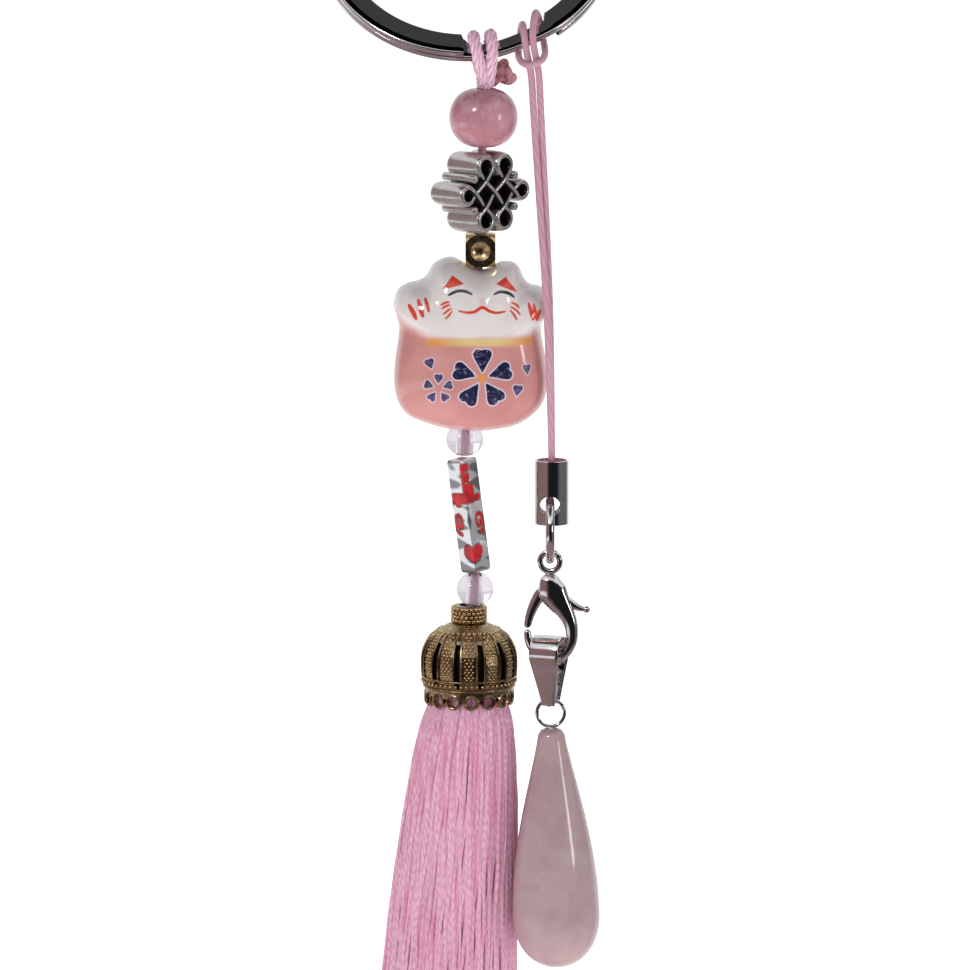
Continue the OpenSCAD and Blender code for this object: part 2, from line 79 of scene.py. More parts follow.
def catmull(p, steps, loop=False):
    """Smooth line through points, with steps parts between neighbours."""
    p = [Vector(q) for q in p]
    n = len(p)
    out = []
    for i in range(n if loop else n - 1):
        a, b, c, d = ((p[(i + k) % n] if loop else p[min(max(i + k, 0), n - 1)]) for k in (-1, 0, 1, 2))
        for k in range(steps):
            t = k / steps
            out.append(0.5 * (2 * b + (c - a) * t + (2 * a - 5 * b + 4 * c - d) * t * t
                              + (3 * b - 3 * c + d - a) * t ** 3))
    if not loop:
        out.append(p[-1])
    return out


def frames(path, first=(0, 1, 0), loop=False):
    """Direction and two cross directions at each point of a path, carried along without twist."""
    n = len(path)
    out = []
    side = Vector(first)
    for i in range(n):
        a = path[(i - 1) % n] if loop else path[max(i - 1, 0)]
        b = path[(i + 1) % n] if loop else path[min(i + 1, n - 1)]
        t = (b - a).normalized()
        side = side - side.dot(t) * t
        side.normalize()
        out.append((t, side.copy(), t.cross(side)))
    return out


def grid(bm, along, across, place):
    """Adds a sheet of along by across faces and puts each corner where place(u, v) says."""
    uv = bm.loops.layers.uv.verify()
    made = bmesh.ops.create_grid(bm, x_segments=along, y_segments=across, size=0.5, calc_uvs=True)
    verts = made["verts"]
    for f in {f for v in verts for f in v.link_faces}:
        for loop in f.loops:
            loop[uv].uv = (loop.vert.co.x + 0.5, loop.vert.co.y + 0.5)
    for v in verts:
        v.co = place(v.co.x + 0.5, v.co.y + 0.5)
    return verts


def tube(bm, path, radius, across=10, first=(0, 1, 0), loop=False, squash=1.0, square=1.0):
    """Adds a tube along a path. radius is a number or one number for each point."""
    fr = frames(path, first, loop)
    n = len(path) if loop else len(path) - 1
    rad = radius if isinstance(radius, (list, tuple)) else [radius] * len(path)

    def place(u, v):
        i = round(u * n) % len(path) if loop else round(u * n)
        t, a, b = fr[i]
        c, s = math.cos(2 * math.pi * v), math.sin(2 * math.pi * v)
        c = math.copysign(abs(c) ** square, c)
        s = math.copysign(abs(s) ** square, s)
        return path[i] + rad[i] * (c * a * squash + s * b)
    return grid(bm, n, across, place)


def lathe(bm, profile, centre=(0, 0, 0), steps=64, turn=None):
    """Spins a line of (radius, height) about a standing axis."""
    before = set(bm.verts)
    made = [bm.verts.new((r, 0, z)) for r, z in profile]
    edges = [bm.edges.new(pair) for pair in zip(made, made[1:])]
    out = bmesh.ops.spin(bm, geom=made + edges, angle=2 * math.pi, steps=steps, use_merge=True,
                         use_duplicate=False, axis=(0, 0, 1), cent=(0, 0, 0), dvec=(0, 0, 0))
    verts = [v for v in bm.verts if v not in before]
    m = Matrix.Translation(Vector(centre)) @ (turn or Matrix.Identity(4))
    for v in verts:
        v.co = m @ v.co
    return out


def ball(bm, at, r, detail=1, stretch=(1, 1, 1)):
    m = Matrix.Translation(Vector(at)) @ Matrix.Diagonal((*stretch, 1))
    return bmesh.ops.create_icosphere(bm, subdivisions=detail, radius=r, matrix=m)["verts"]


def torus(bm, at, r, wire, axis="Y", squash=1.0, steps=64):
    """A closed ring of round wire about the X, Y or Z axis."""
    ring = []
    for k in range(steps):
        a = 2 * math.pi * k / steps
        c, s = r * math.cos(a), r * math.sin(a)
        ring.append(Vector(at) + Vector({"Y": (c, 0, s), "X": (0, c, s), "Z": (c, s, 0)}[axis]))
    return tube(bm, ring, wire, 14, {"Y": (0, 1, 0), "X": (1, 0, 0), "Z": (0, 0, 1)}[axis], True, squash)


def finish(name, bm, mat, body, replaces=(), cap=True, levels=0, sharp=42, merge=1e-4, weld=True):
    """Makes a shape drawn in millimetres a piece that rides on a body."""
    if weld:
        bmesh.ops.remove_doubles(bm, verts=bm.verts[:], dist=merge)
    if cap:
        open_edges = [e for e in bm.edges if e.is_boundary]
        if open_edges:
            bmesh.ops.holes_fill(bm, edges=open_edges, sides=0)
    bmesh.ops.recalc_face_normals(bm, faces=bm.faces[:])
    bmesh.ops.scale(bm, vec=(MM, MM, MM), verts=bm.verts[:])
    mesh = bpy.data.meshes.new(name)
    bm.to_mesh(mesh)
    bm.free()
    mesh.materials.append(mat)
    mesh.shade_smooth()
    if sharp:
        mesh.set_sharp_from_angle(angle=math.radians(sharp))
    obj = bpy.data.objects.new(name, mesh)
    bpy.context.scene.collection.objects.link(obj)
    if levels:
        mod = obj.modifiers.new("Smooth", "SUBSURF")
        mod.levels = mod.render_levels = levels
    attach(obj, body)
    if replaces:
        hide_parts(*replaces)
    return obj


# ---------------------------------------------------------------- finishes

class Finish:
    """A material with short ways to add and join its nodes."""

    def __init__(self, name, colour=(0.8, 0.8, 0.8), **sockets):
        self.mat = bpy.data.materials.new(name)
        self.mat.use_nodes = True
        self.tree = self.mat.node_tree
        self.bsdf = self.tree.nodes["Principled BSDF"]
        self.set(Base_Color=(*colour, 1), **sockets)

    def set(self, **sockets):
        for key, value in sockets.items():
            self.put(self.bsdf.inputs[key.replace("_", " ")], value)
        return self

    def put(self, socket, value):
        if isinstance(value, bpy.types.NodeSocket):
            self.tree.links.new(value, socket)
        elif socket.type == "RGBA" and len(value) == 3:
            socket.default_value = (*value, 1)
        else:
            socket.default_value = value

    def node(self, kind, inputs=(), out=0, **props):
        n = self.tree.nodes.new("ShaderNode" + kind)
        for key, value in props.items():
            setattr(n, key, value)
        for key, value in dict(inputs).items():
            self.put(n.inputs[key], value)
        return n.outputs[out]

    def at(self, centre=(0, 0, 0), turn=(0, 0, 0), scale=1000.0):
        """Object coordinates in millimetres from a centre, turned with a piece."""
        co = self.node("TexCoord", out="Object")
        sub = self.node("VectorMath", {0: co, 1: tuple(c * MM for c in centre)}, operation="SUBTRACT")
        return self.node("Mapping", {"Vector": sub, "Rotation": tuple(math.radians(-c) for c in turn),
                                     "Scale": (scale,) * 3}, vector_type="POINT")

    def uv(self, along, around):
        co = self.node("TexCoord", out="UV")
        return self.node("Mapping", {"Vector": co, "Scale": (along, around, 1)})

    def noise(self, vector, scale=1.0, detail=4.0, rough=0.5, twist=0.0):
        return self.node("TexNoise", {"Vector": vector, "Scale": scale, "Detail": detail,
                                      "Roughness": rough, "Distortion": twist})

    def ramp(self, fac, *stops, smooth=False):
        n = self.tree.nodes.new("ShaderNodeValToRGB")
        self.put(n.inputs[0], fac)
        el = n.color_ramp.elements
        while len(el) < len(stops):
            el.new(0.5)
        if smooth:
            n.color_ramp.interpolation = "EASE"
        for e, (pos, col) in zip(el, stops):
            e.position = pos
            e.color = (*col, 1) if isinstance(col, (tuple, list)) else (col, col, col, 1)
        return n.outputs[0]

    def mix(self, fac, a, b, blend="MIX"):
        n = self.tree.nodes.new("ShaderNodeMix")
        n.data_type = "RGBA"
        n.blend_type = blend
        for i, value in ((0, fac), (6, a), (7, b)):
            self.put(n.inputs[i], value)
        return n.outputs[2]

    def math(self, op, a, b=0.0, clamp=False):
        return self.node("Math", {0: a, 1: b}, operation=op, use_clamp=clamp)

    def range(self, value, low, high, a=0.0, b=1.0):
        return self.node("MapRange", {"Value": value, "From Min": low, "From Max": high, "To Min": a, "To Max": b})

    def bump(self, height, strength=0.5, distance=0.0001):
        return self.set(Normal=self.node("Bump", {"Height": height, "Strength": strength, "Distance": distance}))

    def painted(self, name, soft=0.03):
        """1 inside the area whose signed distance in millimetres is kept as a point attribute."""
        d = self.node("Attribute", out="Fac", attribute_name=name)
        return self.range(d, soft, -soft)


FINISHES = {}


def metal(key, colour, rough, dark=(0.03, 0.025, 0.02), patina=0.0, scale=1.2, relief=0.15):
    """Plated or antiqued metal with small uneven wear, darker in blotches when patina is set."""
    f = Finish(key, colour, Metallic=1.0, Roughness=rough)
    co = f.at()
    n = f.noise(co, scale, 5.0, 0.6)
    base = f.mix(f.range(n, 0.35, 0.7), tuple(c * 0.9 for c in colour), colour)
    if patina:
        m = f.noise(co, scale * 1.7, 6.0, 0.7)
        base = f.mix(f.range(m, 0.62, 0.40, 0.0, patina), base, dark)
    f.set(Base_Color=base, Roughness=f.range(f.noise(co, 3.0, 4.0), 0.3, 0.7, rough * 0.7, rough * 1.5))
    f.bump(f.noise(co, scale * 2.5, 3.0), relief, 0.00005)
    FINISHES[key] = f.mat
    return f


def cord_finish(key, colour, turns, plies, deep=0.35, relief=0.8, lift=1.35, strands=9, sheen=0.4, streak=None):
    """Silky twisted cord: plies that run round the piece's own UV map, with fine strands on them, painted shade in the
    grooves between the plies and a painted highlight on their crests.
    """
    f = Finish(key, colour, Roughness=0.42, Sheen_Weight=sheen, Sheen_Roughness=0.35, Specular_IOR_Level=0.5)
    co = f.node("SeparateXYZ", {0: f.node("TexCoord", out="UV")})
    u = co
    v = co.node.outputs[1]
    phase = f.math("ADD", f.math("MULTIPLY", u, turns * 2 * math.pi), f.math("MULTIPLY", v, plies * 2 * math.pi))
    if streak:
        long = f.node("Mapping", {"Vector": f.node("TexCoord", out="Object"), "Scale": (1900, 1900, 45)})
        phase = f.math("ADD", phase, f.math("MULTIPLY", f.noise(long, 1.0, 2.0), 26.0))
    wave = f.math("ABSOLUTE", f.math("SINE", f.math("MULTIPLY", phase, 0.5)))
    fine = f.math("SINE", f.math("SUBTRACT", f.math("MULTIPLY", phase, 0.35 * strands), f.math("MULTIPLY", v, 40.0)))
    # Painted shade in the grooves between the plies (deep) and a painted highlight along their crests (lift).
    shade = f.ramp(wave, (0.0, tuple(c * deep for c in colour)), (0.45, colour),
                   (1.0, tuple(min(1, c * lift + 0.05) for c in colour)))
    tint = f.noise(f.at(), 0.35, 2.0)
    shade = f.mix(f.range(tint, 0.3, 0.7, 0.0, 0.25), shade, tuple(min(1, c * 1.25 + 0.04) for c in colour))
    if streak:
        shade = f.mix(f.range(f.noise(long, 1.0, 3.0, 0.6), 0.48, 0.66, 0.0, 0.75), shade, streak)
    f.set(Base_Color=shade)
    f.bump(f.math("ADD", f.math("MULTIPLY", wave, 1.0), f.math("MULTIPLY", fine, 0.12)), relief, 0.00012)
    FINISHES[key] = f.mat
    return f


class CHARM_OT_finishes(bpy.types.Operator):
    """Makes every finish and gives the kept CAD parts theirs"""
    bl_idname = "charm.finishes"
    bl_label = "Finishes"

    def execute(self, context):
        s = settings()
        silver, gold, silk, cord = tuple(s.silver), tuple(s.gold), tuple(s.silk), tuple(s.cord)
        metal("ring_nickel", (0.74, 0.72, 0.73), 0.09, relief=0.05)
        metal("plated_silver", silver, 0.08, relief=0.08)
        metal("worn_silver", (0.66, 0.64, 0.62), 0.17, patina=0.18, scale=0.6, relief=0.3).set(Metallic=0.8)
        # painted shade: near-black metal for the fillers in the knot bead's holes
        metal("hollow_shade_metal", (0.02, 0.018, 0.017), 0.6, relief=0.3)
        metal("antique_gold", tuple(min(1, c * 1.15) for c in gold), 0.24, patina=0.6, scale=1.6, relief=0.35)
        metal("bright_gold", tuple(min(1, c * 1.8) for c in gold), 0.22, patina=0.25, relief=0.25)
        # painted shadow: dark gold for the sheet inside the cap
        metal("cap_shadow_gold", (0.05, 0.035, 0.02), 0.5, relief=0.3)
        cord_finish("tassel_silk", silk, 54, 2, deep=0.8, lift=1.14, relief=0.4, sheen=0.5, streak=(0.80, 0.24, 0.42))
        # painted shade: a darker copy of the silk for the tassel's core, seen between the threads
        cord_finish("shaded_core_silk", (0.72, 0.20, 0.36), 60, 90, deep=0.85, lift=1.05, relief=0.3)
        cord_finish("strap_braid", cord, 170, 4, deep=0.86, lift=1.05, relief=0.2)
        cord_finish("hitch_ply", (0.80, 0.46, 0.58), 10, 5, deep=0.75, relief=0.4)
        cord_finish("hidden_cord", (0.82, 0.42, 0.50), 12, 3, deep=0.8, lift=1.05)

        f = Finish("melted_tail", (0.62, 0.30, 0.30), Roughness=0.45, Specular_IOR_Level=0.4)
        co = f.at((4.9, -8.4, -15.6))
        f.set(Base_Color=f.ramp(f.noise(co, 0.9, 4.0), (0.35, (0.26, 0.09, 0.07)), (0.52, (0.60, 0.28, 0.30)),
                                (0.7, (0.78, 0.47, 0.48))))
        f.bump(f.noise(co, 3.0, 3.0), 0.6, 0.0002)
        FINISHES["melted_tail"] = f.mat

        f = Finish("pink_stone", (0.6, 0.25, 0.25), Roughness=0.16, Coat_Weight=0.4, Coat_Roughness=0.06,
                   Subsurface_Weight=0.08, Subsurface_Scale=0.001)
        co = f.at((2.0, -10.8, -20.1), (0, 20, 0))
        cloud = f.noise(co, 0.32, 6.0, 0.6, 0.8)
        vein = f.noise(co, 0.55, 8.0, 0.7, 1.6)
        base = f.ramp(cloud, (0.30, (0.42, 0.17, 0.20)), (0.50, (0.54, 0.25, 0.30)), (0.70, (0.66, 0.38, 0.43)))
        f.set(Base_Color=f.mix(f.range(vein, 0.57, 0.70, 0.0, 0.35), base, (0.72, 0.52, 0.55)))
        FINISHES["pink_stone"] = f.mat

        f = Finish("clear_glass", (0.96, 0.93, 0.94), Roughness=0.03, Transmission_Weight=0.86, IOR=1.42)
        f.set(Base_Color=f.mix(f.range(f.noise(f.at(), 0.4, 2.0), 0.3, 0.7), (0.78, 0.73, 0.78), (0.68, 0.65, 0.71)))
        FINISHES["clear_glass"] = f.mat

        f = Finish("rose_quartz", (0.86, 0.62, 0.62), Roughness=0.10, Coat_Weight=0.5, Coat_Roughness=0.04,
                   Subsurface_Weight=0.55, Subsurface_Scale=0.004, Transmission_Weight=0.15, IOR=1.5)
        f.bsdf.inputs["Subsurface Radius"].default_value = (1.0, 0.6, 0.55)
        co = f.at((10.3, -14.2, -106))
        cloud = f.noise(co, 0.14, 5.0, 0.55, 1.0)
        base = f.ramp(cloud, (0.30, (0.52, 0.36, 0.38)), (0.5, (0.57, 0.42, 0.43)), (0.70, (0.62, 0.48, 0.48)))
        wisp = f.noise(co, 0.35, 7.0, 0.7, 2.0)
        f.set(Base_Color=f.mix(f.range(wisp, 0.58, 0.70, 0.0, 0.4), base, (0.76, 0.64, 0.65)))
        FINISHES["rose_quartz"] = f.mat

        kept = {"charm_cord_upper": "hidden_cord", "charm_cord_lower": "hidden_cord", "tassel_cord": "hidden_cord",
                "tassel_head": "tassel_silk", "tassel_binding": "tassel_silk", "cord_plug": "strap_braid",
                "spacer_bead": "bright_gold", "tassel_cap": "antique_gold", "endless_knot_bead": "worn_silver",
                "cord_end_tube": "plated_silver", "clasp_pin": "plated_silver", "clasp_spring": "plated_silver",
                "bail_pin": "plated_silver"}
        for node, key in kept.items():
            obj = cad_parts[node]
            obj.data.materials.clear()
            obj.data.materials.append(FINISHES[key])
        return {"FINISHED"}


# ---------------------------------------------------------------- camera and cords

class CHARM_OT_stage(bpy.types.Operator):
    """Adds the floor, the soft studio lights, the pale surroundings and the camera"""
    bl_idname = "charm.stage"
    bl_label = "Stage"

    def execute(self, context):
        aim = Vector((2.18, -10.8, -63.5)) * MM
        tilt = math.radians(9)
        cam = bpy.data.objects.new("Camera", bpy.data.cameras.new("Camera"))
        context.scene.collection.objects.link(cam)
        cam.location = aim + Vector((0, -math.cos(tilt), math.sin(tilt))) * 0.8
        cam.rotation_euler = (aim - cam.location).to_track_quat("-Z", "Y").to_euler()
        cam.data.lens = 252.4
        cam.data.sensor_width = 36
        cam.data.clip_start = 0.01
        context.scene.camera = cam

        floor = Finish("floor", (0.9, 0.9, 0.9), Roughness=0.75, Emission_Color=(1, 1, 1, 1), Emission_Strength=1.0)
        floor.set(Base_Color=floor.mix(floor.noise(floor.at(scale=30), 1.0), (0.88, 0.88, 0.88), (0.92, 0.92, 0.92)))
        bm = bmesh.new()
        bmesh.ops.create_grid(bm, x_segments=1, y_segments=1, size=3.0)
        mesh = bpy.data.meshes.new("floor")
        for v in bm.verts:
            v.co.z = -0.153
        bm.to_mesh(mesh)
        bm.free()
        mesh.materials.append(floor.mat)
        ground = bpy.data.objects.new("floor", mesh)
        context.scene.collection.objects.link(ground)
        ground.visible_glossy = False

        def light(name, at, size, power, colour=(1, 1, 1), height=None):
            data = bpy.data.lights.new(name, "AREA")
            data.shape = "RECTANGLE"
            data.size = size
            data.size_y = height or size
            data.energy = power
            data.color = colour
            lamp = bpy.data.objects.new(name, data)
            context.scene.collection.objects.link(lamp)
            lamp.location = at
            lamp.rotation_euler = (aim - Vector(at)).to_track_quat("-Z", "Y").to_euler()
            return lamp

        light("key", (-0.42, -0.62, 0.42), 0.14, 1.25)
        light("fill", (0.62, -0.42, 0.03), 0.12, 0.45, (1, 0.97, 0.97), 0.2)
        light("top", (0.1, 0.05, 0.75), 0.45, 0.6).visible_glossy = False
        light("back", (-0.3, 0.7, 0.2), 0.5, 0.65).visible_glossy = False

        world = bpy.data.worlds.new("World")
        context.scene.world = world
        world.use_nodes = True
        t = world.node_tree

        def node(kind, *inputs, out=0, **props):
            n = t.nodes.new("ShaderNode" + kind)
            for key, value in props.items():
                setattr(n, key, value)
            for socket, value in zip(n.inputs, inputs):
                if isinstance(value, bpy.types.NodeSocket):
                    t.links.new(value, socket)
                elif value is not None:
                    socket.default_value = value
            return n.outputs[out]

        def blend(fac, a, b):
            n = t.nodes.new("ShaderNodeMix")
            n.data_type = "RGBA"
            for k, value in ((0, fac), (6, a), (7, b)):
                if isinstance(value, bpy.types.NodeSocket):
                    t.links.new(value, n.inputs[k])
                else:
                    n.inputs[k].default_value = (*value, 1)
            return n.outputs[2]
        x, y, z = node("SeparateXYZ", node("TexCoord")).node.outputs
        studio = blend(node("MapRange", x, -0.34, -0.60), (0.012, 0.013, 0.015), (0.25, 0.155, 0.15))
        studio = blend(node("MapRange", x, 0.60, 0.85), studio, (0.13, 0.14, 0.15))
        band = node("Math", node("MapRange", z, -0.42, -0.37), node("MapRange", z, -0.19, -0.25), operation="MULTIPLY")
        band = node("Math", band, node("MapRange", x, -0.45, -0.55), operation="MULTIPLY")
        studio = blend(band, studio, (0.85, 0.86, 0.90))
        studio = blend(node("MapRange", z, -0.40, -0.62), studio, (0.30, 0.21, 0.22))
        studio = blend(node("MapRange", z, 0.42, 0.55), studio, (0.85, 0.86, 0.88))
        studio = blend(node("MapRange", z, 0.76, 0.86), studio, (0.06, 0.06, 0.06))
        studio = blend(node("MapRange", y, 0.45, 0.75), studio, (0.85, 0.85, 0.86))
        rays = node("LightPath").node.outputs
        lit = blend(rays["Is Glossy Ray"], (0.20, 0.20, 0.21), studio)
        seen = node("Math", rays["Is Camera Ray"], rays["Is Transmission Ray"], operation="MAXIMUM")
        t.links.new(blend(seen, lit, (1, 1, 1)), t.nodes["Background"].inputs["Color"])
        context.scene.view_settings.view_transform = "Standard"
        return {"FINISHED"}


STRAP_ROUTE = [
    (10.0, -14.64, -60.3), (9.77, -15.13, -52), (9.36, -15.3, -42), (8.56, -13.88, -30),
    (7.88, -12.81, -20), (7.6, -12.3, -15.5), (7.3, -12.1, -13.7), (7.0, -11.95, -12.2),
    (6.8, -11.8, -10.8), (6.65, -11.3, -9.7), (6.55, -10.3, -9.25), (6.4, -9.3, -9.75),
    (6.25, -8.75, -10.9), (6.1, -8.9, -12.1), (6.1, -9.8, -13.0), (6.35, -11.0, -13.45),
    (6.75, -12.1, -13.7), (7.35, -12.85, -13.8), (8.1, -12.95, -13.6), (8.8, -12.4, -13.2),
    (9.15, -11.3, -12.7), (9.15, -10.1, -12.1), (9.0, -8.85, -11.3), (8.7, -8.05, -9.75),
    (8.35, -8.45, -8.4), (8.1, -9.7, -7.95), (7.9, -10.85, -8.4), (7.75, -11.6, -9.6),
    (7.75, -11.95, -10.8), (7.95, -12.05, -12.2), (8.25, -12.15, -13.7), (8.5, -12.3, -15.5),
    (8.73, -12.59, -20), (9.24, -13.32, -30), (9.74, -14.5, -42), (9.93, -14.27, -52),
    (10.0, -13.76, -60.3)]


class CHARM_OT_strap_cord(bpy.types.Operator):
    """Adds the braided strap cord: two strands and the cow hitch on the ring"""
    bl_idname = "charm.strap_cord"
    bl_label = "Strap cord"

    def execute(self, context):
        path = catmull(STRAP_ROUTE, 14)
        bm = bmesh.new()
        tube(bm, path, 0.41, 12, (1, 0, 0))
        cord = finish("strap_cord_braid", bm, FINISHES["strap_braid"], "strap", ["strap_cord"], sharp=0)
        return {"FINISHED"}


# ---------------------------------------------------------------- ring and hitch

TILT = math.radians(42)


def on_ring(r, phi, a):
    """A point of the ring: radius, angle from the lowest point in degrees, shift along its axis."""
    z = -r * math.cos(math.radians(phi))
    return Vector((r * math.sin(math.radians(phi)), a * math.cos(TILT) + z * math.sin(TILT),
                   -a * math.sin(TILT) + z * math.cos(TILT)))


def eased(x):
    x = min(1, max(0, x))
    return x * x * (3 - 2 * x)


class CHARM_OT_split_ring(bpy.types.Operator):
    """Adds the flat split ring with its crossing and two free ends"""
    bl_idname = "charm.split_ring"
    bl_label = "Split ring"

    def execute(self, context):
        s = settings()
        lo, hi, steps, across = 38.0, 719.0, 560, 28
        corner = 0.2

        def place(u, v):
            phi = lo + (hi - lo) * u
            w = 2.8 - 0.9 * min(eased((phi - 359) / 3), eased((398 - phi) / 3))
            end = min(phi - lo, hi - phi) / 1.2
            w *= 0.72 + 0.28 * math.sqrt(max(0, min(1, end)))
            t = s.turn * (0.86 + 0.14 * min(1, end * 2))
            a = (s.turn + 0.05) * (0.5 - eased((phi - 361) / 31))
            k = 4 * v
            q, p = int(min(3, math.floor(k))), k - math.floor(k)
            sides = ((1, -1), (1, 1), (-1, 1), (-1, -1))
            cx, cy = sides[q % 4]
            ang = math.radians((q - 1) * 90 + min(1, p * 7 / 3) * 90)
            if p > 3 / 7:
                nx, ny = sides[(q + 1) % 4]
                f = (p - 3 / 7) / (4 / 7)
                hx, hy = w / 2 - corner, t / 2 - corner
                e = math.radians(q * 90)
                x = (cx + (nx - cx) * f) * hx + corner * math.cos(e)
                y = (cy + (ny - cy) * f) * hy + corner * math.sin(e)
            else:
                x = cx * (w / 2 - corner) + corner * math.cos(ang)
                y = cy * (t / 2 - corner) + corner * math.sin(ang)
            return on_ring(s.ring_outer - w / 2 + x, phi, a + y)
        bm = bmesh.new()
        grid(bm, steps, across, place)
        finish("flat_split_ring", bm, FINISHES["ring_nickel"], "ring", ["split_ring"], sharp=35)
        return {"FINISHED"}


class CHARM_OT_hitch(bpy.types.Operator):
    """Adds the twisted cord wrapped on the ring, its gathering knot and the melted tail"""
    bl_idname = "charm.hitch"
    bl_label = "Hitch and knot"

    def execute(self, context):
        c = on_ring(16.55, 7, 0.3)
        along = Vector((math.cos(math.radians(7)), math.sin(math.radians(7)) * math.sin(TILT),
                        math.sin(math.radians(7)) * math.cos(TILT)))
        front = Vector((0, -1, 0))
        front = (front - front.dot(along) * along).normalized()
        up = along.cross(front)
        up = up if up.z > 0 else -up
        bm = bmesh.new()
        for side in (-1, 1):
            keys = [(0.15, 0.25, -4.1), (0.3, 0.9, -3.0), (0.6, 1.55, -1.6), (0.85, 1.85, -0.3), (0.95, 1.6, 0.9),
                    (1.0, 0.85, 1.72), (1.0, -0.2, 1.9), (0.95, -1.2, 1.5), (0.9, -1.8, 0.6), (0.8, -1.75, -0.6),
                    (0.6, -1.45, -1.8), (0.3, -0.8, -3.0), (0.15, -0.2, -4.0)]
            path = catmull([c + side * a * along + f * front + u * up for a, f, u in keys], 9)
            for ply in range(3):
                line = []
                for i, (t, n, b) in enumerate(frames(path, along)):
                    ang = i / len(path) * 2 * math.pi * 5.0 + ply * 2 * math.pi / 3
                    line.append(path[i] + 0.34 * (math.cos(ang) * n + math.sin(ang) * b))
                tube(bm, line, 0.40, 9, along)
        for k in range(3):
            torus(bm, (c.x + 0.05, -10.8, c.z - 3.2 - 0.42 * k), 0.62 - 0.05 * k, 0.34, "Z", steps=28)
        finish("twisted_hitch", bm, FINISHES["hitch_ply"], "charm", ["charm_hitch"], sharp=0)
        bm = bmesh.new()
        for at, r, stretch in (((4.2, -8.7, -15.0), 0.95, (1.1, 0.9, 1.0)), ((4.9, -8.4, -15.7), 0.8, (1.0, 0.9, 0.85)),
                               ((3.4, -8.8, -15.8), 0.75, (1.2, 0.9, 0.9)), ((4.5, -8.6, -14.4), 0.6, (0.9, 0.9, 1.0))):
            for v in ball(bm, at, r, 4, stretch):
                v.co += 0.16 * noise.noise_vector(v.co * 1.3)
        middle = Matrix.Translation((-4.9, 8.4, 15.6))
        bmesh.ops.scale(bm, vec=(1.3, 1.3, 1.25), space=middle, verts=bm.verts[:])
        finish("melted_tail_lump", bm, FINISHES["melted_tail"], "charm", ["hitch_tail"], sharp=0, weld=False)
        return {"FINISHED"}


# ---------------------------------------------------------------- beads

def barrel(w, h, bore, power, last, steps=26):
    """Closed outline of a bored bead as (radius, height) pairs."""
    pts = []
    for i in range(steps + 1):
        a = math.radians(-last + 2 * last * i / steps)
        pts.append((w / 2 * math.cos(a) ** power, h / 2 * math.sin(a) / math.sin(math.radians(last))))
    lip = 0.12
    return ([(bore, -h / 2 + lip), (bore + lip, -h / 2)] + pts + [(bore + lip, h / 2), (bore, h / 2 - lip),
            (bore, -h / 2 + lip)])


class CHARM_OT_round_beads(bpy.types.Operator):
    """Adds the stone barrel bead and both clear glass beads"""
    bl_idname = "charm.round_beads"
    bl_label = "Stone and glass beads"

    def execute(self, context):
        bm = bmesh.new()
        lathe(bm, barrel(8.0, 6.8, 0.8, 0.75, 76), (2.0, -10.8, -20.1), 96)
        finish("stone_barrel", bm, FINISHES["pink_stone"], "rondelle", ["stone_rondelle"], cap=False)
        for name, at, body, node in (("glass_round_upper", (-0.2, -10.8, -58.05), "glass_upper", "glass_bead_upper"),
                                     ("glass_round_lower", (1.0, -10.8, -75.9), "glass_lower", "glass_bead_lower")):
            bm = bmesh.new()
            lathe(bm, barrel(4.42, 3.7, 0.72, 0.9, 68), at, 64)
            finish(name, bm, FINISHES["clear_glass"], body, [node], cap=False)
        return {"FINISHED"}


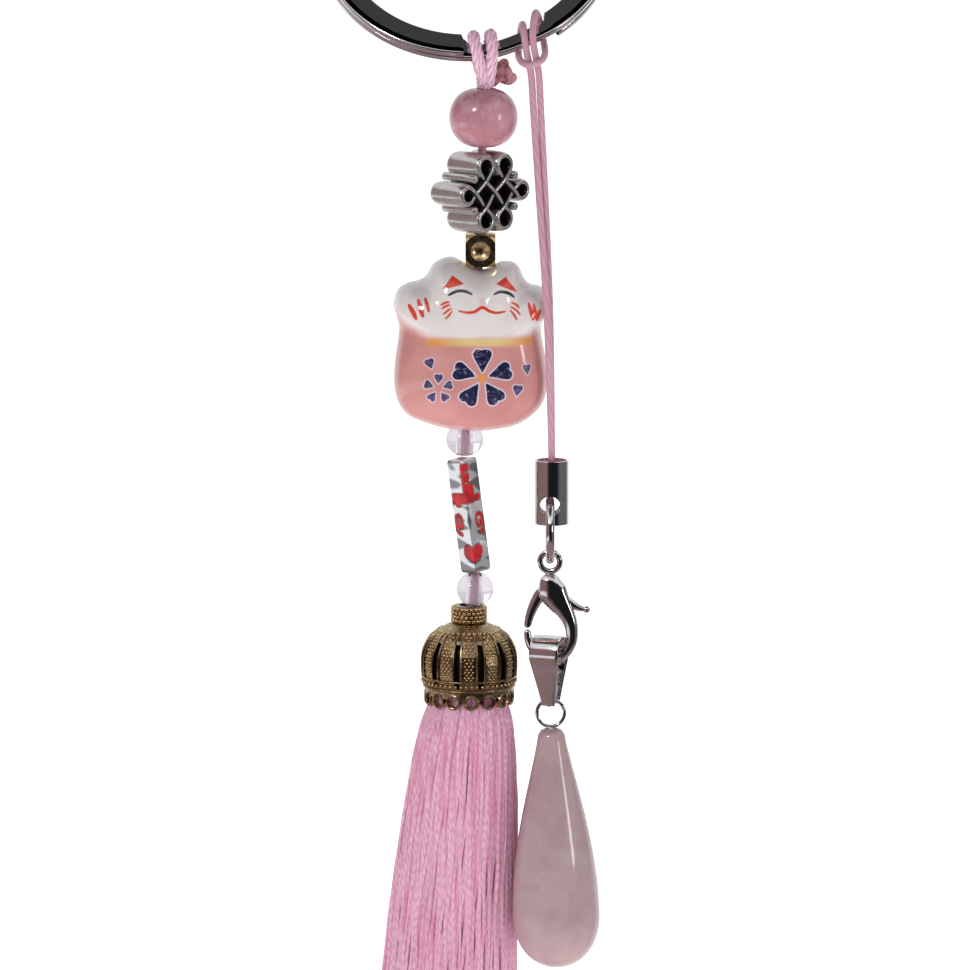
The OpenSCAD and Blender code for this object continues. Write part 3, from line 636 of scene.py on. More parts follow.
class CHARM_OT_knot_bead(bpy.types.Operator):
    """Adds the woven cords of the endless knot bead on its two faces"""
    bl_idname = "charm.knot_bead"
    bl_label = "Endless knot bead"

    def execute(self, context):
        turn = Matrix.Translation((1.6, -10.8, -28.75)) @ Matrix.Rotation(math.radians(45), 4, "Z")
        step, high, wide = 1.55, 1.12, 0.95
        loops = ((1, 1, 90, 1), (2, 0, 0, 1), (1, -1, -90, 1), (-1, 1, 90, -1), (-2, 0, 180, -1), (-1, -1, -90, -1))
        path, spins, wall_shade_marks = [], [], []
        for i, (cx, cz, way, spin) in enumerate(loops):
            r = wide if cz == 0 else high
            way = math.radians(way)
            ox = cx * step + math.sqrt(2) * r * math.cos(way)
            oz = cz * step + math.sqrt(2) * r * math.sin(way)
            arc = [way + spin * math.radians(-135 + 270 * k / 22) for k in range(23)]
            here = [(ox + r * math.cos(a), oz + r * math.sin(a), 0.0) for a in arc]
            nx, nz, nway, nspin = loops[(i + 1) % 6]
            nr = wide if nz == 0 else high
            nway = math.radians(nway)
            start = nway + nspin * math.radians(-135)
            to = (nx * step + math.sqrt(2) * nr * math.cos(nway) + nr * math.cos(start),
                  nz * step + math.sqrt(2) * nr * math.sin(nway) + nr * math.sin(start))
            x, z, _ = here[-1]
            rising = (to[0] - x) * (to[1] - z) > 0
            row = round((x - z if rising else x + z) / (2 * step))
            line = []
            for k in range(1, 30):
                px, pz = x + (to[0] - x) * k / 30, z + (to[1] - z) * k / 30
                s = ((px + pz) if rising else (px - pz)) / (2 * step)
                lift = (1 if rising else -1) * (-1) ** row * math.cos(math.pi * s) if abs(s) < 1.5 else 0.0
                line.append((px, pz, lift))
            path += here + line
            spins += [spin] * len(here) + [0] * len(line)
        n = len(path)

        def wall(u, v):
            i = round(u * n) % n
            x, z, lift = path[i]
            ax, az, _ = path[(i - 1) % n]
            bx, bz, _ = path[(i + 1) % n]
            l = math.hypot(bx - ax, bz - az)
            tx, tz = (bx - ax) / l, (bz - az) / l
            a = 2 * math.pi * v
            inner = spins[i] == 0 or spins[i] * math.sin(a) > 0
            # painted shade: walls facing the loop holes are marked to be drawn near-black
            wall_shade_marks.append(1.0 if inner and abs(math.cos(a)) < 0.93 else 0.0)
            c = math.copysign(abs(math.cos(a)) ** 0.35, math.cos(a))
            thick = 0.40 * math.copysign(abs(math.sin(a)) ** 0.7, math.sin(a)) * (1 + 0.3 * (1 - c * c))
            return turn @ Vector((x - tz * thick, 2.68 * c + 0.14 * lift, z + tx * thick))
        bm = bmesh.new()
        wall_shade = bm.verts.layers.float.new("wall_shade")
        made = grid(bm, n, 28, wall)
        for v, mark in zip(made, wall_shade_marks):
            v[wall_shade] = mark
        f = metal("knot_silver", (0.66, 0.64, 0.62), 0.17, relief=0.3)
        # painted shade: the marked walls are drawn near-black and less metallic
        mask = f.node("Attribute", out="Fac", attribute_name="wall_shade")
        old = f.bsdf.inputs["Base Color"].links[0].from_socket
        f.set(Base_Color=f.mix(f.range(mask, 0.35, 0.65), old, (0.01, 0.01, 0.01)),
              Metallic=f.range(mask, 0.35, 0.65, 0.8, 0.2))
        for x in (-1, 1):
            for z in (-1, 1):
                line = [turn @ Vector((x * 3.3, y, z * 1.85)) for y in (-2.75, -2.68, -2.5, -0.9, 0.9, 2.5, 2.68, 2.75)]
                tube(bm, line, [0.1, 0.36, 0.5, 0.52, 0.52, 0.5, 0.36, 0.1], 14, (0, 0, 1))
        finish("knot_weave", bm, FINISHES["knot_silver"], "knot", ["endless_knot_bead"], sharp=60)
        # painted shade: near-black discs in the loop holes and a block behind the middle weave stand for the shade in
        # those hollows
        bm = bmesh.new()
        flat = Matrix.Rotation(math.radians(90), 4, "X")
        for x, z, r in ((1.55, 3.2, 1.1), (-1.55, 3.2, 1.1), (1.55, -3.2, 1.1), (-1.55, -3.2, 1.1), (4.4, 0, 0.95),
                        (-4.4, 0, 0.95)):
            bmesh.ops.create_cone(bm, cap_ends=True, segments=28, radius1=r, radius2=r, depth=3.0,
                                  matrix=turn @ Matrix.Translation((x, 0, z)) @ flat)
        bmesh.ops.create_cube(bm, size=1.0, matrix=turn @ Matrix.Rotation(math.radians(45), 4, "Y")
                              @ Matrix.Diagonal((4.6, 3.4, 4.6, 1)))
        finish("knot_hole_shade", bm, FINISHES["hollow_shade_metal"], "knot", cap=False, weld=False)
        return {"FINISHED"}


CAT = Vector((0.8, -10.8, -47.2))
CAT_OUTLINE = [
    (-0.7, 9.85), (-1.6, 10.4), (-2.6, 10.75), (-3.8, 10.5), (-4.8, 9.8), (-5.6, 8.5), (-6.6, 7.95),
    (-7.8, 7.65), (-8.9, 6.8), (-9.35, 5.2), (-9, 3.8), (-8.7, 2.6), (-8.85, 1), (-9.2, -1.5),
    (-9.3, -4), (-8.9, -6.2), (-7.8, -7.8), (-6, -8.7), (-3, -9.55), (0.5, -9.8), (3.5, -9.5),
    (5.5, -8.9), (7.2, -7.7), (8.3, -6.2), (8.75, -4), (8.6, -2), (8.3, 0), (8, 1.8),
    (8.2, 3.2), (9.1, 4.4), (9.4, 5.5), (9, 6.5), (7.8, 7.3), (6.6, 7.6), (5.95, 8.3),
    (5.4, 9.5), (4.6, 10.15), (3.2, 10.2), (2.2, 9.6), (0.9, 9.3)]


def to_line(p, line):
    """Distance from p to a line of points, and how far along it that is, 0 to 1."""
    best, where, total = 1e9, 0.0, 0.0
    lengths = [math.dist(a, b) for a, b in zip(line, line[1:])]
    whole = sum(lengths)
    for (ax, az), (bx, bz), l in zip(line, line[1:], lengths):
        t = max(0.0, min(1.0, ((p[0] - ax) * (bx - ax) + (p[1] - az) * (bz - az)) / (l * l)))
        d = math.hypot(p[0] - ax - t * (bx - ax), p[1] - az - t * (bz - az))
        if d < best:
            best, where = d, (total + t * l) / whole
        total += l
    return best, where


def stroke(p, line, width):
    """Signed distance to a brush stroke that thins towards its ends."""
    if math.dist(p, line[len(line) // 2]) > 3.6:
        return 2.0
    d, where = to_line(p, line)
    return d - width / 2 * (0.45 + 0.55 * math.sin(math.pi * min(1, max(0, where))) ** 0.5)


def curve2(points, steps=8):
    return [(q.x, q.y) for q in catmull([(x, z, 0) for x, z in points], steps)]


def spot(centre, angle, far):
    """The point at a distance and angle in degrees from a centre."""
    return centre[0] + far * math.cos(math.radians(angle)), centre[1] + far * math.sin(math.radians(angle))


def heart(p, centre, angle, long, wide):
    """Signed distance to a heart-shaped petal whose tip points back along the angle."""
    r = 0.27 * wide
    if math.dist(p, centre) > long + 0.8:
        return 2.0
    tip = spot(centre, angle + 180, long / 2)
    best = 9.0
    for side in (-1, 1):
        lobe = spot(spot(centre, angle, long / 2 - r), angle + 90, side * (wide / 2 - r))
        for bend in (0.0, 0.5):
            mid = spot(spot(centre, angle, long * 0.05), angle + 90, side * bend * (wide / 2 - r))
            d, where = to_line(p, [tip, mid, lobe])
            best = min(best, d - r * (0.12 + 0.88 * min(1, where * 1.35)))
    return best


class CHARM_OT_cat_bead(bpy.types.Operator):
    """Adds the porcelain cat bead with its painted face, collar and blossoms"""
    bl_idname = "charm.cat_bead"
    bl_label = "Cat bead"

    def execute(self, context):
        outline = catmull([(x, 0, z) for x, z in CAT_OUTLINE], 10, True)
        n, rings = len(outline), 140

        def place(u, v):
            a = math.radians(-88.5 + 177 * u)
            p = outline[round(v * n) % n]
            grow = math.cos(a) ** 0.5
            flare = 1 + 0.10 * max(0, p.z / 10) * math.cos(a) ** 3
            return CAT + Vector((p.x * grow, 5.7 * math.sin(a) * (1 + 0 * flare), p.z * grow))
        bm = bmesh.new()
        grid(bm, rings, n, place)
        bmesh.ops.remove_doubles(bm, verts=bm.verts[:], dist=1e-4)
        ends = [e for e in bm.edges if e.is_boundary]
        caps = bmesh.ops.holes_fill(bm, edges=ends, sides=0)["faces"]
        bmesh.ops.poke(bm, faces=caps)
        front = [f for f in bm.faces if f.calc_center_median().y < CAT.y - 5.2]
        edges = list({e for f in front for e in f.edges if e.calc_length() > 0.5})
        bmesh.ops.subdivide_edges(bm, edges=edges, cuts=2, use_grid_fill=True)

        eyes = [curve2([(-2.89, 7.13), (-2.06, 7.55), (-1.45, 7.64), (-0.8, 7.53), (-0.11, 7.2)]),
                curve2([(2.39, 7.2), (3.05, 7.5), (3.78, 7.45), (4.33, 7.2), (4.75, 6.84)])]
        mouth = curve2([(-1.71, 5.37), (-0.81, 5.17), (0.17, 5.25), (1.07, 5.75), (1.97, 5.3), (2.8, 5.13), (3.78, 5.27)])
        whiskers = [curve2(w, 4) for w in (
            [(-3.8, 5.97), (-3.2, 6.3), (-2.75, 6.4)], [(-3.7, 5.55), (-3.1, 5.9), (-2.65, 6.05)],
            [(-3.5, 4.9), (-3.0, 5.35), (-2.5, 5.7)], [(-3.3, 4.35), (-2.8, 4.85), (-2.35, 5.35)],
            [(4.47, 6.25), (5.0, 6.0), (5.4, 5.6)], [(4.33, 5.8), (5.0, 5.4), (5.5, 4.85)],
            [(4.26, 5.4), (4.75, 4.9), (5.1, 4.2)])]
        paws = [([(-7.5, 5.9), (-7.0, 5.1), (-6.64, 4.3)], 0.58), ([(-6.4, 6.5), (-6.1, 5.5), (-5.85, 4.6)], 0.6),
                ([(-5.6, 6.7), (-5.35, 6.0), (-5.15, 5.2)], 0.42), ([(6.45, 6.1), (6.75, 5.2), (7.0, 4.2)], 0.5),
                ([(7.05, 6.0), (7.25, 5.1), (7.4, 4.1)], 0.42), ([(7.8, 5.3), (7.6, 4.7), (7.45, 4.1)], 0.4)]
        ears = [[(-2.4, 9.2), (-1.3, 8.45), (-3.35, 7.9)], [(3.78, 9.0), (2.9, 8.4), (4.85, 7.6)]]
        blossom, small = (1.07, -2.79), (-4.07, -4.06)
        petals = [(90, 2.05, 2.7, 2.2), (17, 2.15, 2.65, 2.1), (-56, 2.15, 2.7, 2.2), (-124, 2.25, 2.75, 2.2),
                  (163, 2.15, 2.65, 2.15)]
        loose = [((-5.04, -1.15), 110, 1.25, 1.15), ((6.28, -1.9), 95, 1.2, 0.95), ((5.17, -4.35), 80, 1.35, 1.2)]

        def triangle(p, t):
            cx, cz = sum(q[0] for q in t) / 3, sum(q[1] for q in t) / 3
            worst = -9.0
            for (ax, az), (bx, bz) in zip(t, t[1:] + t[:1]):
                nx, nz = bz - az, ax - bx
                l = math.hypot(nx, nz)
                side = ((p[0] - ax) * nx + (p[1] - az) * nz) / l
                if ((cx - ax) * nx + (cz - az) * nz) > 0:
                    side = -side
                worst = max(worst, side)
            return worst

        areas = {
            "ink": lambda p: min(stroke(p, e, 0.36) for e in eyes),
            "red": lambda p: min([stroke(p, mouth, 0.38)] + [stroke(p, w, 0.27) for w in whiskers]
                                 + [stroke(p, w, width) for w, width in paws] + [triangle(p, t) - 0.12 for t in ears]),
            "nose": lambda p: math.hypot(p[0] - 1.07, p[1] - 6.45) - 0.38,
            "petal": lambda p: min(heart(p, spot(blossom, a, d), a, l, w) for a, d, l, w in petals),
            "middle": lambda p: math.hypot(p[0] - blossom[0], p[1] - blossom[1]) - 0.55,
            "small": lambda p: min(heart(p, spot(small, a, 1.15), a, 1.15, 1.05) for a in (88, 18, -54, -126, 160)),
            "loose": lambda p: min(heart(p, c, a, l, w) for c, a, l, w in loose),
        }
        layers = {k: bm.verts.layers.float.new(k) for k in areas}
        for v in bm.verts:
            face = v.co.y < CAT.y
            p = (v.co.x - CAT.x, v.co.z - CAT.z)
            low = (p[0], p[1] + 0.28)
            for key, fn in areas.items():
                v[layers[key]] = min(2.0, fn(low if key in ("ink", "red", "nose") else p)) if face else 2.0

        s = settings()
        f = Finish("painted_porcelain", tuple(s.glaze), Roughness=0.10, Coat_Weight=0.6, Coat_Roughness=0.03,
                   Subsurface_Weight=0.05, Subsurface_Scale=0.001)
        co = f.at(CAT)
        xyz = f.node("SeparateXYZ", {0: co})
        height = xyz.node.outputs[2]
        wobble = f.noise(co, 0.25, 3.0)
        spread = f.math("POWER", f.math("MULTIPLY", f.math("ABSOLUTE", f.math("SUBTRACT", xyz, 0.9)), 0.118), 4.0)
        border = f.math("ADD", f.math("MULTIPLY", spread, 1.5), 1.75)
        border = f.math("ADD", border, f.math("MULTIPLY", f.math("SUBTRACT", wobble, 0.5), 1.2))
        level = f.math("SUBTRACT", height, border)
        body = f.ramp(f.noise(co, 0.16, 3.0), (0.35, (0.62, 0.26, 0.245)), (0.65, (0.72, 0.345, 0.32)))
        pink = f.mix(f.range(level, -0.5, 0.45), body, tuple(s.glaze))
        speck = f.noise(co, 2.2, 5.0, 0.7)
        navy = f.ramp(speck, (0.40, (0.010, 0.012, 0.04)), (0.56, (0.035, 0.035, 0.10)), (0.68, (0.30, 0.30, 0.42)))
        gold = f.mix(f.range(f.math("ABSOLUTE", f.math("SUBTRACT", xyz, 1.0)), 2.0, 5.5), (0.80, 0.62, 0.25), (0.80, 0.33, 0.06))
        stripe = f.math("MULTIPLY", f.range(height, 0.75, 1.15), f.range(height, 2.05, 1.65))
        reach = f.range(f.math("ABSOLUTE", f.math("SUBTRACT", xyz, 0.8)), 6.6, 5.9, 0.0, 0.85)
        front = f.range(xyz.node.outputs[1], -1.0, -2.0)
        base = f.mix(f.math("MULTIPLY", f.math("MULTIPLY", stripe, reach), front), pink, gold)
        white = (0.72, 0.62, 0.72)

        def halo(name, grow):
            d = f.node("Attribute", out="Fac", attribute_name=name)
            return f.range(d, grow + 0.05, grow - 0.05)
        for name in ("petal", "small", "loose"):
            base = f.mix(halo(name, 0.16 if name == "petal" else 0.12), base, white)
        plum = f.ramp(speck, (0.40, (0.045, 0.03, 0.09)), (0.62, (0.16, 0.12, 0.24)))
        base = f.mix(f.painted("petal", 0.04), base, navy)
        base = f.mix(f.painted("small", 0.04), base, plum)
        base = f.mix(f.painted("loose", 0.04), base, plum)
        base = f.mix(f.math("MULTIPLY", f.painted("middle", 0.25), f.range(f.node("Attribute", out="Fac",
                     attribute_name="petal"), 0.12, 0.2)), base, (0.80, 0.33, 0.10))
        base = f.mix(f.math("MULTIPLY", f.painted("nose", 0.2), 0.7), base, (0.82, 0.42, 0.50))
        base = f.mix(f.painted("red", 0.04), base, (0.76, 0.07, 0.04))
        base = f.mix(f.painted("ink", 0.04), base, (0.03, 0.03, 0.035))
        f.set(Base_Color=base, Roughness=f.range(f.noise(co, 0.8, 2.0), 0.3, 0.7, 0.07, 0.14))
        finish("painted_cat", bm, f.mat, "cat", ["cat_bead"], cap=False, sharp=0, weld=False)
        return {"FINISHED"}


class CHARM_OT_long_bead(bpy.types.Operator):
    """Adds the long square silver bead with red enamel scrolls on its four sides"""
    bl_idname = "charm.long_bead"
    bl_label = "Long enamelled bead"

    def execute(self, context):
        turn = (Matrix.Translation((-0.6, -10.8, -60.35)) @ Matrix.Rotation(math.radians(-7.4), 4, "Y")
                @ Matrix.Rotation(math.radians(45), 4, "Z"))
        half, length, corner = 1.3, 13.5, 0.22
        bm = bmesh.new()
        around, tall = 80, 180

        def place(u, v):
            a = 2 * math.pi * v
            c, s = math.cos(a), math.sin(a)
            k = half / max(abs(c), abs(s))
            x, y = max(-half + 0.0, min(half, c * k)), max(-half, min(half, s * k))
            d = math.hypot(max(0, abs(x) - half + corner), max(0, abs(y) - half + corner))
            pull = corner / d if d > corner else 1
            x = math.copysign(min(abs(x), half - corner) + max(0, abs(x) - half + corner) * pull, x)
            y = math.copysign(min(abs(y), half - corner) + max(0, abs(y) - half + corner) * pull, y)
            e = min(u, 1 - u) * length
            shrink = 1 - 0.10 * max(0, 1 - e / 0.35) ** 2
            return Vector((x * shrink, y * shrink, -length * u))
        grid(bm, tall, around, place)
        bmesh.ops.remove_doubles(bm, verts=bm.verts[:], dist=1e-4)
        ends = [e for e in bm.edges if e.is_boundary]
        top = bmesh.ops.holes_fill(bm, edges=ends, sides=0)["faces"]
        hole = bmesh.ops.inset_individual(bm, faces=top, thickness=0.55, depth=0)
        bmesh.ops.inset_individual(bm, faces=top, thickness=0.05, depth=-1.0)
        field = bm.verts.layers.float.new("enamel")
        shade_patch = bm.verts.layers.float.new("shade_patch")
        spiral = [((0.2 + 0.075 * a) * math.cos(a), 1.7 * (0.2 + 0.075 * a) * math.sin(a))
                  for a in (0.5 * k for k in range(17))]

        def box(x, z, x0, x1, z0, z1):
            dx = abs(x - (x0 + x1) / 2) - (x1 - x0) / 2 + 0.22
            dz = abs(z - (z0 + z1) / 2) - (z1 - z0) / 2 + 0.22
            return math.hypot(max(dx, 0), max(dz, 0)) + min(0, max(dx, dz)) - 0.22

        def pattern(x, z, stem):
            d = to_line((x - 0.3, z - 7.5), spiral)[0] - 0.15
            d = min(d, math.hypot(x + 0.55, (z - 11.0) / 1.15) - 0.72)
            d = min(d, box(x, z, -1.3, -0.75, 10.8, 12.1))
            if stem:
                parts = ((-1.3, -0.3, 0.5, 1.3), (-1.25, -0.45, 1.6, 2.6), (-1.3, 0.0, 2.9, 5.1), (0.0, 0.9, 4.3, 5.0))
            else:
                parts = ((-1.3, -0.95, 0.5, 5.1), (-1.3, 1.0, 4.0, 5.1), (-0.3, 0.5, 5.0, 5.5))
            return min([d] + [box(x, z, *part) for part in parts]) - 0.04
        for v in bm.verts:
            x, y, z = v.co
            stem = abs(y) > abs(x)
            across = (x if y < 0 else -x) if stem else (y if x < 0 else -y)
            v[field] = min(2.0, pattern(across, -z, stem))
            # painted shade: dark patches at three heights beside one corner
            shade = min(abs(-z - c) / tall + abs(across + 1.3) / wide
                        for c, tall, wide in ((7.3, 1.7, 0.5), (1.9, 0.7, 1.2), (12.1, 0.5, 1.6)))
            v[shade_patch] = min(2.0, shade)
        bmesh.ops.transform(bm, matrix=turn, verts=bm.verts[:])
        f = Finish("enamelled_silver", tuple(settings().silver), Roughness=0.16)
        mask = f.painted("enamel", 0.05)
        d = f.node("Attribute", out="Fac", attribute_name="enamel")
        co = f.at()
        base = f.mix(f.range(d, 0.14, 0.07), (0.92, 0.91, 0.92), (0.40, 0.33, 0.32))
        # painted reflection: crisp dark streaks on the silver
        dark_reflection = f.node("Mapping", {"Vector": co, "Scale": (0.25, 0.25, 0.55)})
        base = f.mix(f.range(f.noise(dark_reflection, 1.0, 1.0), 0.55, 0.60, 0.0, 0.75), base, (0.10, 0.09, 0.09))
        # painted shade: the patches darken the silver towards near-black
        shade = f.node("Attribute", out="Fac", attribute_name="shade_patch")
        base = f.mix(f.range(shade, 1.0, 0.55, 0.0, 0.8), base, (0.05, 0.05, 0.05))
        base = f.mix(mask, base, f.ramp(f.noise(co, 0.8, 3.0), (0.35, (0.42, 0.008, 0.015)), (0.65, (0.72, 0.02, 0.03))))
        f.set(Base_Color=base, Metallic=f.math("MULTIPLY", f.math("SUBTRACT", 1.0, mask), 0.7), Roughness=f.range(f.noise(co, 1.5, 3.0), 0.3, 0.7, 0.10, 0.22))
        f.bump(f.range(d, -0.12, 0.12), 0.6, 0.00015)
        finish("scrolled_bead", bm, f.mat, "enamel", ["enamel_bead", "enamel_inlay"], cap=False, weld=False)
        return {"FINISHED"}


# ---------------------------------------------------------------- tassel

class CHARM_OT_cap(bpy.types.Operator):
    """Adds the granulation, ribs and rim rings of the crown cap"""
    bl_idname = "charm.cap"
    bl_label = "Crown cap trim"

    def execute(self, context):
        s = settings()
        x0 = 0.3
        bm = bmesh.new()

        def row(radius, z, count, r, phase=0.0, detail=2):
            for k in range(count):
                a = 2 * math.pi * (k + phase) / count
                ball(bm, (x0 + radius * math.cos(a), -10.8 + radius * math.sin(a), z), r, detail)
        for i, z in enumerate((-78.15, -78.62, -79.09, -79.55)):
            row(1.93, z, 22, 0.25, 0.5 * (i % 2))
        row(3.62, -80.75, 36, 0.22)
        row(5.52, -86.75, 54, 0.20)
        for k in range(s.ribs):
            a = 2 * math.pi * k / s.ribs
            spine = catmull([(r, 0, z) for r, z in ((2.2, -80.15), (3.3, -80.65), (4.35, -81.4), (5.05, -82.4),
                                                   (5.45, -83.5), (5.55, -84.6), (5.45, -85.6), (5.35, -86.4))], 3)
            for i, q in enumerate(spine):
                for side in ((-0.2, 0.2) if i % 2 else (0.0, -0.38, 0.38)):
                    if abs(side) > 0.3 and q.x < 4.4:
                        continue
                    turn = a + side / q.x * 1.25
                    ball(bm, (x0 + q.x * math.cos(turn), -10.8 + q.x * math.sin(turn), q.z), 0.2, 1)
        finish("cap_granules", bm, FINISHES["bright_gold"], "cap", weld=False)
        bm = bmesh.new()
        for k in range(s.ribs):
            for off in (-0.14, 0.14):
                a = 2 * math.pi * (k + 0.5 + off * 1.15) / s.ribs
                path = catmull([(x0 + r * math.cos(a), -10.8 + r * math.sin(a), z) for r, z in (
                    (3.75, -80.85), (4.62, -81.55), (5.2, -82.5), (5.55, -83.4), (5.66, -84.4), (5.64, -85.4),
                    (5.5, -86.4))], 4)
                tube(bm, path, 0.13, 8)
        for k in range(s.rim_beads):
            a = 2 * math.pi * k / s.rim_beads + math.radians(3)
            out = Vector((math.sin(a), -math.cos(a), 0))
            side = Vector((math.cos(a), math.sin(a), 0))
            at = Vector((x0, -10.8, -88.65)) + 5.12 * out
            ring = [at + 0.76 * (math.cos(t) * side + math.sin(t) * Vector((0, 0, 1)))
                    for t in (2 * math.pi * j / 22 for j in range(22))]
            tube(bm, ring, 0.17, 8, out, True)
        torus(bm, (x0, -10.8, -87.35), 5.32, 0.17, "Z", steps=90)
        torus(bm, (x0, -10.8, -86.2), 5.55, 0.13, "Z", steps=90)
        finish("cap_wires", bm, FINISHES["antique_gold"], "cap", weld=True)
        # painted shadow: a dark sheet inside the cap, seen through its slots
        bm = bmesh.new()
        lathe(bm, [(3.4, -81.4), (4.3, -82.6), (4.75, -84.2), (4.78, -85.5), (4.6, -87.2)], (x0, -10.8, 0), 48)
        finish("cap_shadow", bm, FINISHES["cap_shadow_gold"], "cap", cap=False)
        return {"FINISHED"}


TASSEL = [
    (-86, 3.6, 3.6, 0.3, 0), (-88.4, 4.1, 4.1, 0.3, 0), (-89.7, 4.2, 4.2, 0.2, 0), (-90.8, 5.3, 5.1, 0.1, 0.05),
    (-92.4, 5.7, 5.3, -0.05, 0.1), (-95.8, 6.2, 5.7, -0.3, 0.4), (-102, 6.9, 6.1, -0.7, 0.8), (-108, 7.4, 6.5, -1.2, 1.1),
    (-115, 7.8, 6.8, -1.7, 1.4), (-122, 8.2, 7.2, -2.1, 1.6), (-131, 8.7, 7.7, -2.5, 1.7), (-140, 9.1, 8.2, -2.7, 1.8),
    (-148, 9.2, 8.4, -2.8, 1.8)]


def tassel_at(z):
    """Half width, half depth and both shifts of the thread bundle at a height."""
    for a, b in zip(TASSEL, TASSEL[1:]):
        if z >= b[0]:
            t = (z - a[0]) / (b[0] - a[0])
            return [x + (y - x) * t for x, y in zip(a[1:], b[1:])]
    return TASSEL[-1][1:]


class CHARM_OT_tassel(bpy.types.Operator):
    """Adds the tassel's hanging twisted threads"""
    bl_idname = "charm.tassel"
    bl_label = "Tassel threads"

    def execute(self, context):
        s = settings()
        rng = random.Random(7)
        bundles = [bmesh.new() for _ in range(4)]
        count = s.threads
        outer = int(count * 0.8)
        for k in range(count):
            if k < outer:
                a, share = 2 * math.pi * (k + rng.uniform(-0.3, 0.3)) / outer, rng.uniform(0.93, 1.0)
            else:
                a, share = rng.uniform(0, 2 * math.pi), rng.uniform(0.80, 0.9)
            end = -148 + rng.uniform(0.1, 2.2)
            keys = []
            drift = 0.0
            for i in range(14):
                z = -87.2 + (end + 87.2) * i / 13
                w, d, sx, sy = tassel_at(z)
                drift += rng.uniform(-0.05, 0.05)
                room = s.thread_r + 0.05
                keys.append((sx + (w - room) * share * math.cos(a + drift) + rng.uniform(-0.10, 0.10),
                             -10.8 + sy + (d - room) * share * math.sin(a + drift) + rng.uniform(-0.10, 0.10), z))
            path = catmull(keys, 4)
            tube(bundles[k * 4 // count], path, s.thread_r * rng.uniform(0.9, 1.08), 6)
        for i, bm in enumerate(bundles):
            finish("tassel_threads_%d" % (i + 1), bm, FINISHES["tassel_silk"], "tassel",
                   ["tassel_skirt"] if i == 0 else (), sharp=0)

        # The core wears a darker copy of the silk: painted shade seen between the threads.
        def core(u, v):
            z = -86.4 - 59.6 * u
            w, d, sx, sy = tassel_at(z)
            a = 2 * math.pi * v
            return Vector((sx + (w * 0.9 - 0.35) * math.cos(a), -10.8 + sy + (d * 0.9 - 0.35) * math.sin(a), z))
        bm = bmesh.new()
        grid(bm, 60, 72, core)
        finish("tassel_middle", bm, FINISHES["shaded_core_silk"], "tassel")
        return {"FINISHED"}


# ---------------------------------------------------------------- clasp and drop

LINK = Vector((9.8, -14.2, -68.3))
EYE = Vector((9.8, -14.2, -72.05))


class CHARM_OT_clasp(bpy.types.Operator):
    """Adds the link ring, the lobster clasp and its sprung gate"""
    bl_idname = "charm.clasp"
    bl_label = "Link ring and clasp"

    def execute(self, context):
        bm = bmesh.new()
        torus(bm, LINK, 3.5, 0.52, "X", steps=96)
        finish("round_link", bm, FINISHES["plated_silver"], "link", ["link_ring"])
        turn = Matrix.Translation(EYE) @ Matrix.Rotation(math.radians(-8), 4, "Z")
        hook = [(0, -1.45), (0.05, -2.5), (0.35, -3.6), (1.0, -4.7), (1.75, -5.8), (2.35, -7.0), (2.62, -8.3),
                (2.45, -9.7), (1.75, -10.9), (0.6, -11.55), (-0.7, -11.4), (-1.8, -10.7), (-2.45, -9.6),
                (-2.62, -8.6), (-2.64, -8.15)]
        wide = [1.7, 2.7, 3.4, 2.9, 2.2, 1.75, 1.5, 1.4, 1.3, 1.2, 1.1, 1.0, 0.95, 0.85, 0.6]
        deep = [1.5, 2.1, 2.2, 2.0, 1.8, 1.65, 1.55, 1.45, 1.35, 1.25, 1.2, 1.15, 1.1, 1.0, 0.8]

        def bar(bm, line, widths, depths, across=20):
            path = catmull([(x, 0, z) for x, z in line], 6)
            w = [q.x for q in catmull([(a, 0, 0) for a in widths], 6)]
            d = [q.x for q in catmull([(a, 0, 0) for a in depths], 6)]
            fr = frames(path)

            def place(u, v):
                i = round(u * (len(path) - 1))
                t, n, b = fr[i]
                c, s = math.cos(2 * math.pi * v), math.sin(2 * math.pi * v)
                c, s = math.copysign(abs(c) ** 0.75, c), math.copysign(abs(s) ** 0.75, s)
                end = min(u, 1 - u) * (len(path) - 1)
                shrink = (0.55, 0.85, 1.0)[min(2, int(end))]
                return path[i] + shrink * (d[i] / 2 * c * n + w[i] / 2 * s * b)
            grid(bm, len(path) - 1, across, place)
        bm = bmesh.new()
        torus(bm, (0, 0, 0), 1.17, 0.36, "Y", steps=40)
        bar(bm, hook, wide, deep)
        bmesh.ops.transform(bm, matrix=turn, verts=bm.verts[:])
        finish("lobster_body", bm, FINISHES["plated_silver"], "clasp", ["clasp_body"], sharp=60)
        bm = bmesh.new()
        bar(bm, [(0.2, -3.0), (-0.9, -3.7), (-1.7, -4.9), (-2.3, -6.3), (-2.6, -7.5), (-2.62, -7.95)],
            [1.2, 1.5, 1.35, 1.1, 0.9, 0.65], [0.86] * 6, 14)
        bar(bm, [(0.1, -3.3), (1.2, -4.0), (2.4, -4.9), (3.5, -5.45), (4.3, -5.6)],
            [1.1, 1.2, 1.1, 0.75, 0.5], [0.86, 0.86, 0.86, 0.86, 0.65], 14)
        ball(bm, (4.35, 0, -5.6), 0.42, 3)
        bmesh.ops.transform(bm, matrix=turn, verts=bm.verts[:])
        finish("lobster_gate", bm, FINISHES["plated_silver"], "gate", ["clasp_gate"], sharp=60)
        return {"FINISHED"}


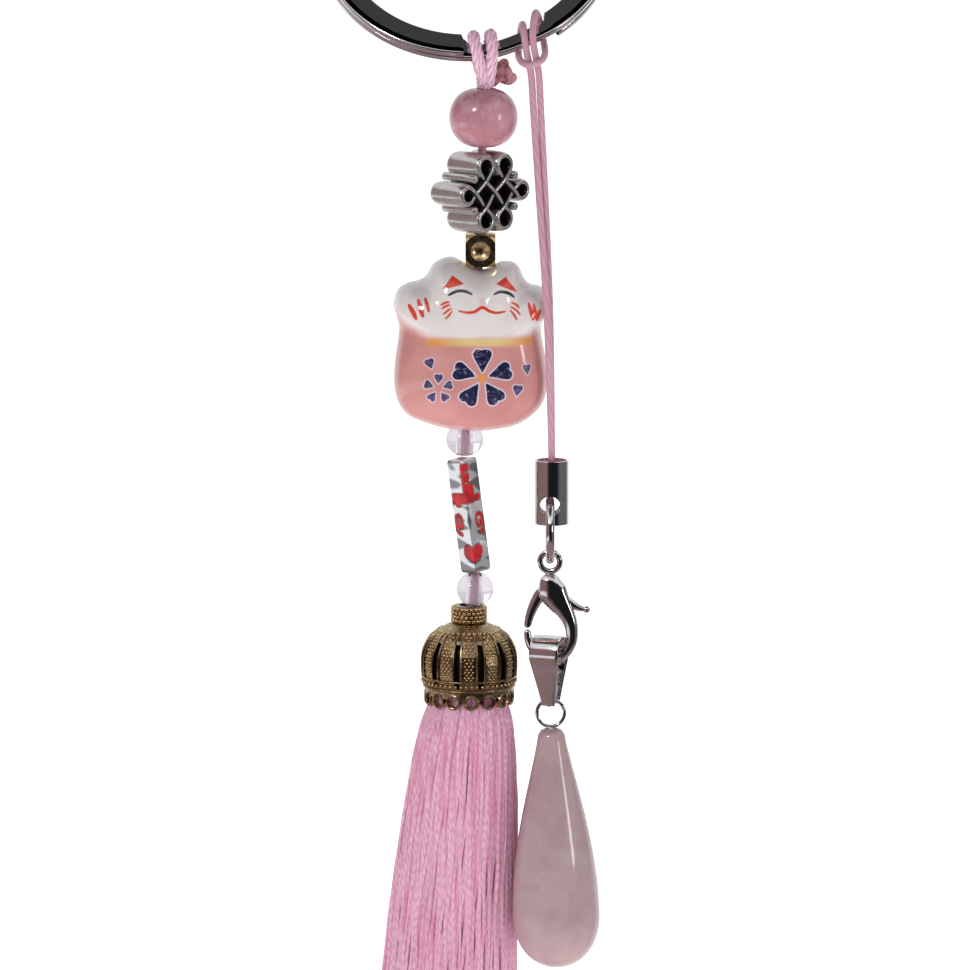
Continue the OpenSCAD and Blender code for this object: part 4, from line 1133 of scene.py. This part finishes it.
class CHARM_OT_drop(bpy.types.Operator):
    """Adds the folded bail, the wire eye and the rose quartz drop"""
    bl_idname = "charm.drop"
    bl_label = "Bail and stone drop"

    def execute(self, context):
        at = EYE + Vector((-0.1, 0, -10.9))
        turn = Matrix.Translation(at) @ Matrix.Rotation(math.radians(-21), 4, "Z")
        side = catmull([(0, -0.79, -6.15), (0, -1.05, -4.4), (0, -1.42, -2.4), (0, -1.74, -0.9), (0, -1.86, 0.3),
                        (0, -1.42, 1.3), (0, -0.6, 1.84), (0, 0.6, 1.84), (0, 1.42, 1.3), (0, 1.86, 0.3),
                        (0, 1.74, -0.9), (0, 1.42, -2.4), (0, 1.05, -4.4), (0, 0.79, -6.15)], 6)
        fr = frames(side, (1, 0, 0))

        def place(u, v):
            i = round(u * (len(side) - 1))
            t, n, b = fr[i]
            z = side[i].z
            low = max(0.0, (-0.6 - z) / 5.7)
            half = 1.8 - 1.05 * low
            c, s = math.cos(2 * math.pi * v), math.sin(2 * math.pi * v)
            c, s = math.copysign(abs(c) ** 0.3, c), math.copysign(abs(s) ** 0.5, s)
            return side[i] + Vector((0.25 * low, 0, 0)) + half * c * n + 0.19 * s * b
        bm = bmesh.new()
        grid(bm, len(side) - 1, 32, place)
        bmesh.ops.transform(bm, matrix=turn, verts=bm.verts[:])
        finish("folded_bail", bm, FINISHES["plated_silver"], "bail", ["bail"], sharp=50)
        pin = EYE + Vector((0.12, 0, -17.0))
        mid = pin + Vector((0, 0, 0.3 + 0.22 + 0.03 - 1.62))
        bm = bmesh.new()
        torus(bm, mid, 1.62, 0.22, "Y", steps=56)
        top = mid + Vector((0.05, 0, -1.75))
        tube(bm, [top + Vector((0, 0, z)) for z in (0.15, -0.2, -0.6)], 0.3, 12, (1, 0, 0))
        lathe(bm, [(0.0, 0.05), (0.5, 0.0), (0.95, -0.25), (1.2, -0.6)], top, 32)
        finish("wire_eye", bm, FINISHES["plated_silver"], "drop", ["drop_eye"], cap=False)
        r, length = 5.16, 28.8
        profile = [(0.0, 0.0), (0.7, -0.05), (1.25, -0.3), (1.6, -0.9)]
        profile += [(1.6 + (r - 1.6) * math.sin(math.pi / 2 * t) ** 1.15, -0.9 - (length * 0.785 - 0.9) * t)
                    for t in (i / 24 for i in range(1, 25))]
        profile += [(r * math.cos(a) ** 0.9, -length * (0.785 + 0.215 * math.sin(a)))
                    for a in (math.pi / 2 * i / 20 for i in range(1, 20))] + [(0.0, -length)]
        bm = bmesh.new()
        lathe(bm, profile, top, 96, Matrix.Rotation(math.radians(-1.6), 4, "Y"))
        finish("quartz_stone", bm, FINISHES["rose_quartz"], "drop", ["quartz_drop"], cap=False, sharp=0)
        return {"FINISHED"}


class CHARM_PT_panel(bpy.types.Panel):
    """Lists the steps that build the charm"""
    bl_label = "Charm key ring"
    bl_idname = "CHARM_PT_panel"
    bl_space_type = "VIEW_3D"
    bl_region_type = "UI"
    bl_category = "Charm"

    def draw(self, context):
        for name in CharmSettings.__annotations__:
            self.layout.prop(context.scene.charm_settings, name)
        for step in STEPS:
            self.layout.operator(step.bl_idname)


STEPS = (CHARM_OT_stage, CHARM_OT_finishes, CHARM_OT_strap_cord, CHARM_OT_split_ring, CHARM_OT_hitch,
         CHARM_OT_round_beads, CHARM_OT_knot_bead, CHARM_OT_cat_bead, CHARM_OT_long_bead, CHARM_OT_cap,
         CHARM_OT_tassel, CHARM_OT_clasp, CHARM_OT_drop)
CLASSES = (CharmSettings, *STEPS, CHARM_PT_panel)


def register():
    for cls in CLASSES:
        bpy.utils.register_class(cls)
    bpy.types.Scene.charm_settings = bpy.props.PointerProperty(type=CharmSettings)


def unregister():
    del bpy.types.Scene.charm_settings
    for cls in reversed(CLASSES):
        bpy.utils.unregister_class(cls)


def main():
    register()
    for step in STEPS:
        group, name = step.bl_idname.split(".")
        getattr(getattr(bpy.ops, group), name)()


if __name__ == "__main__":
    main()
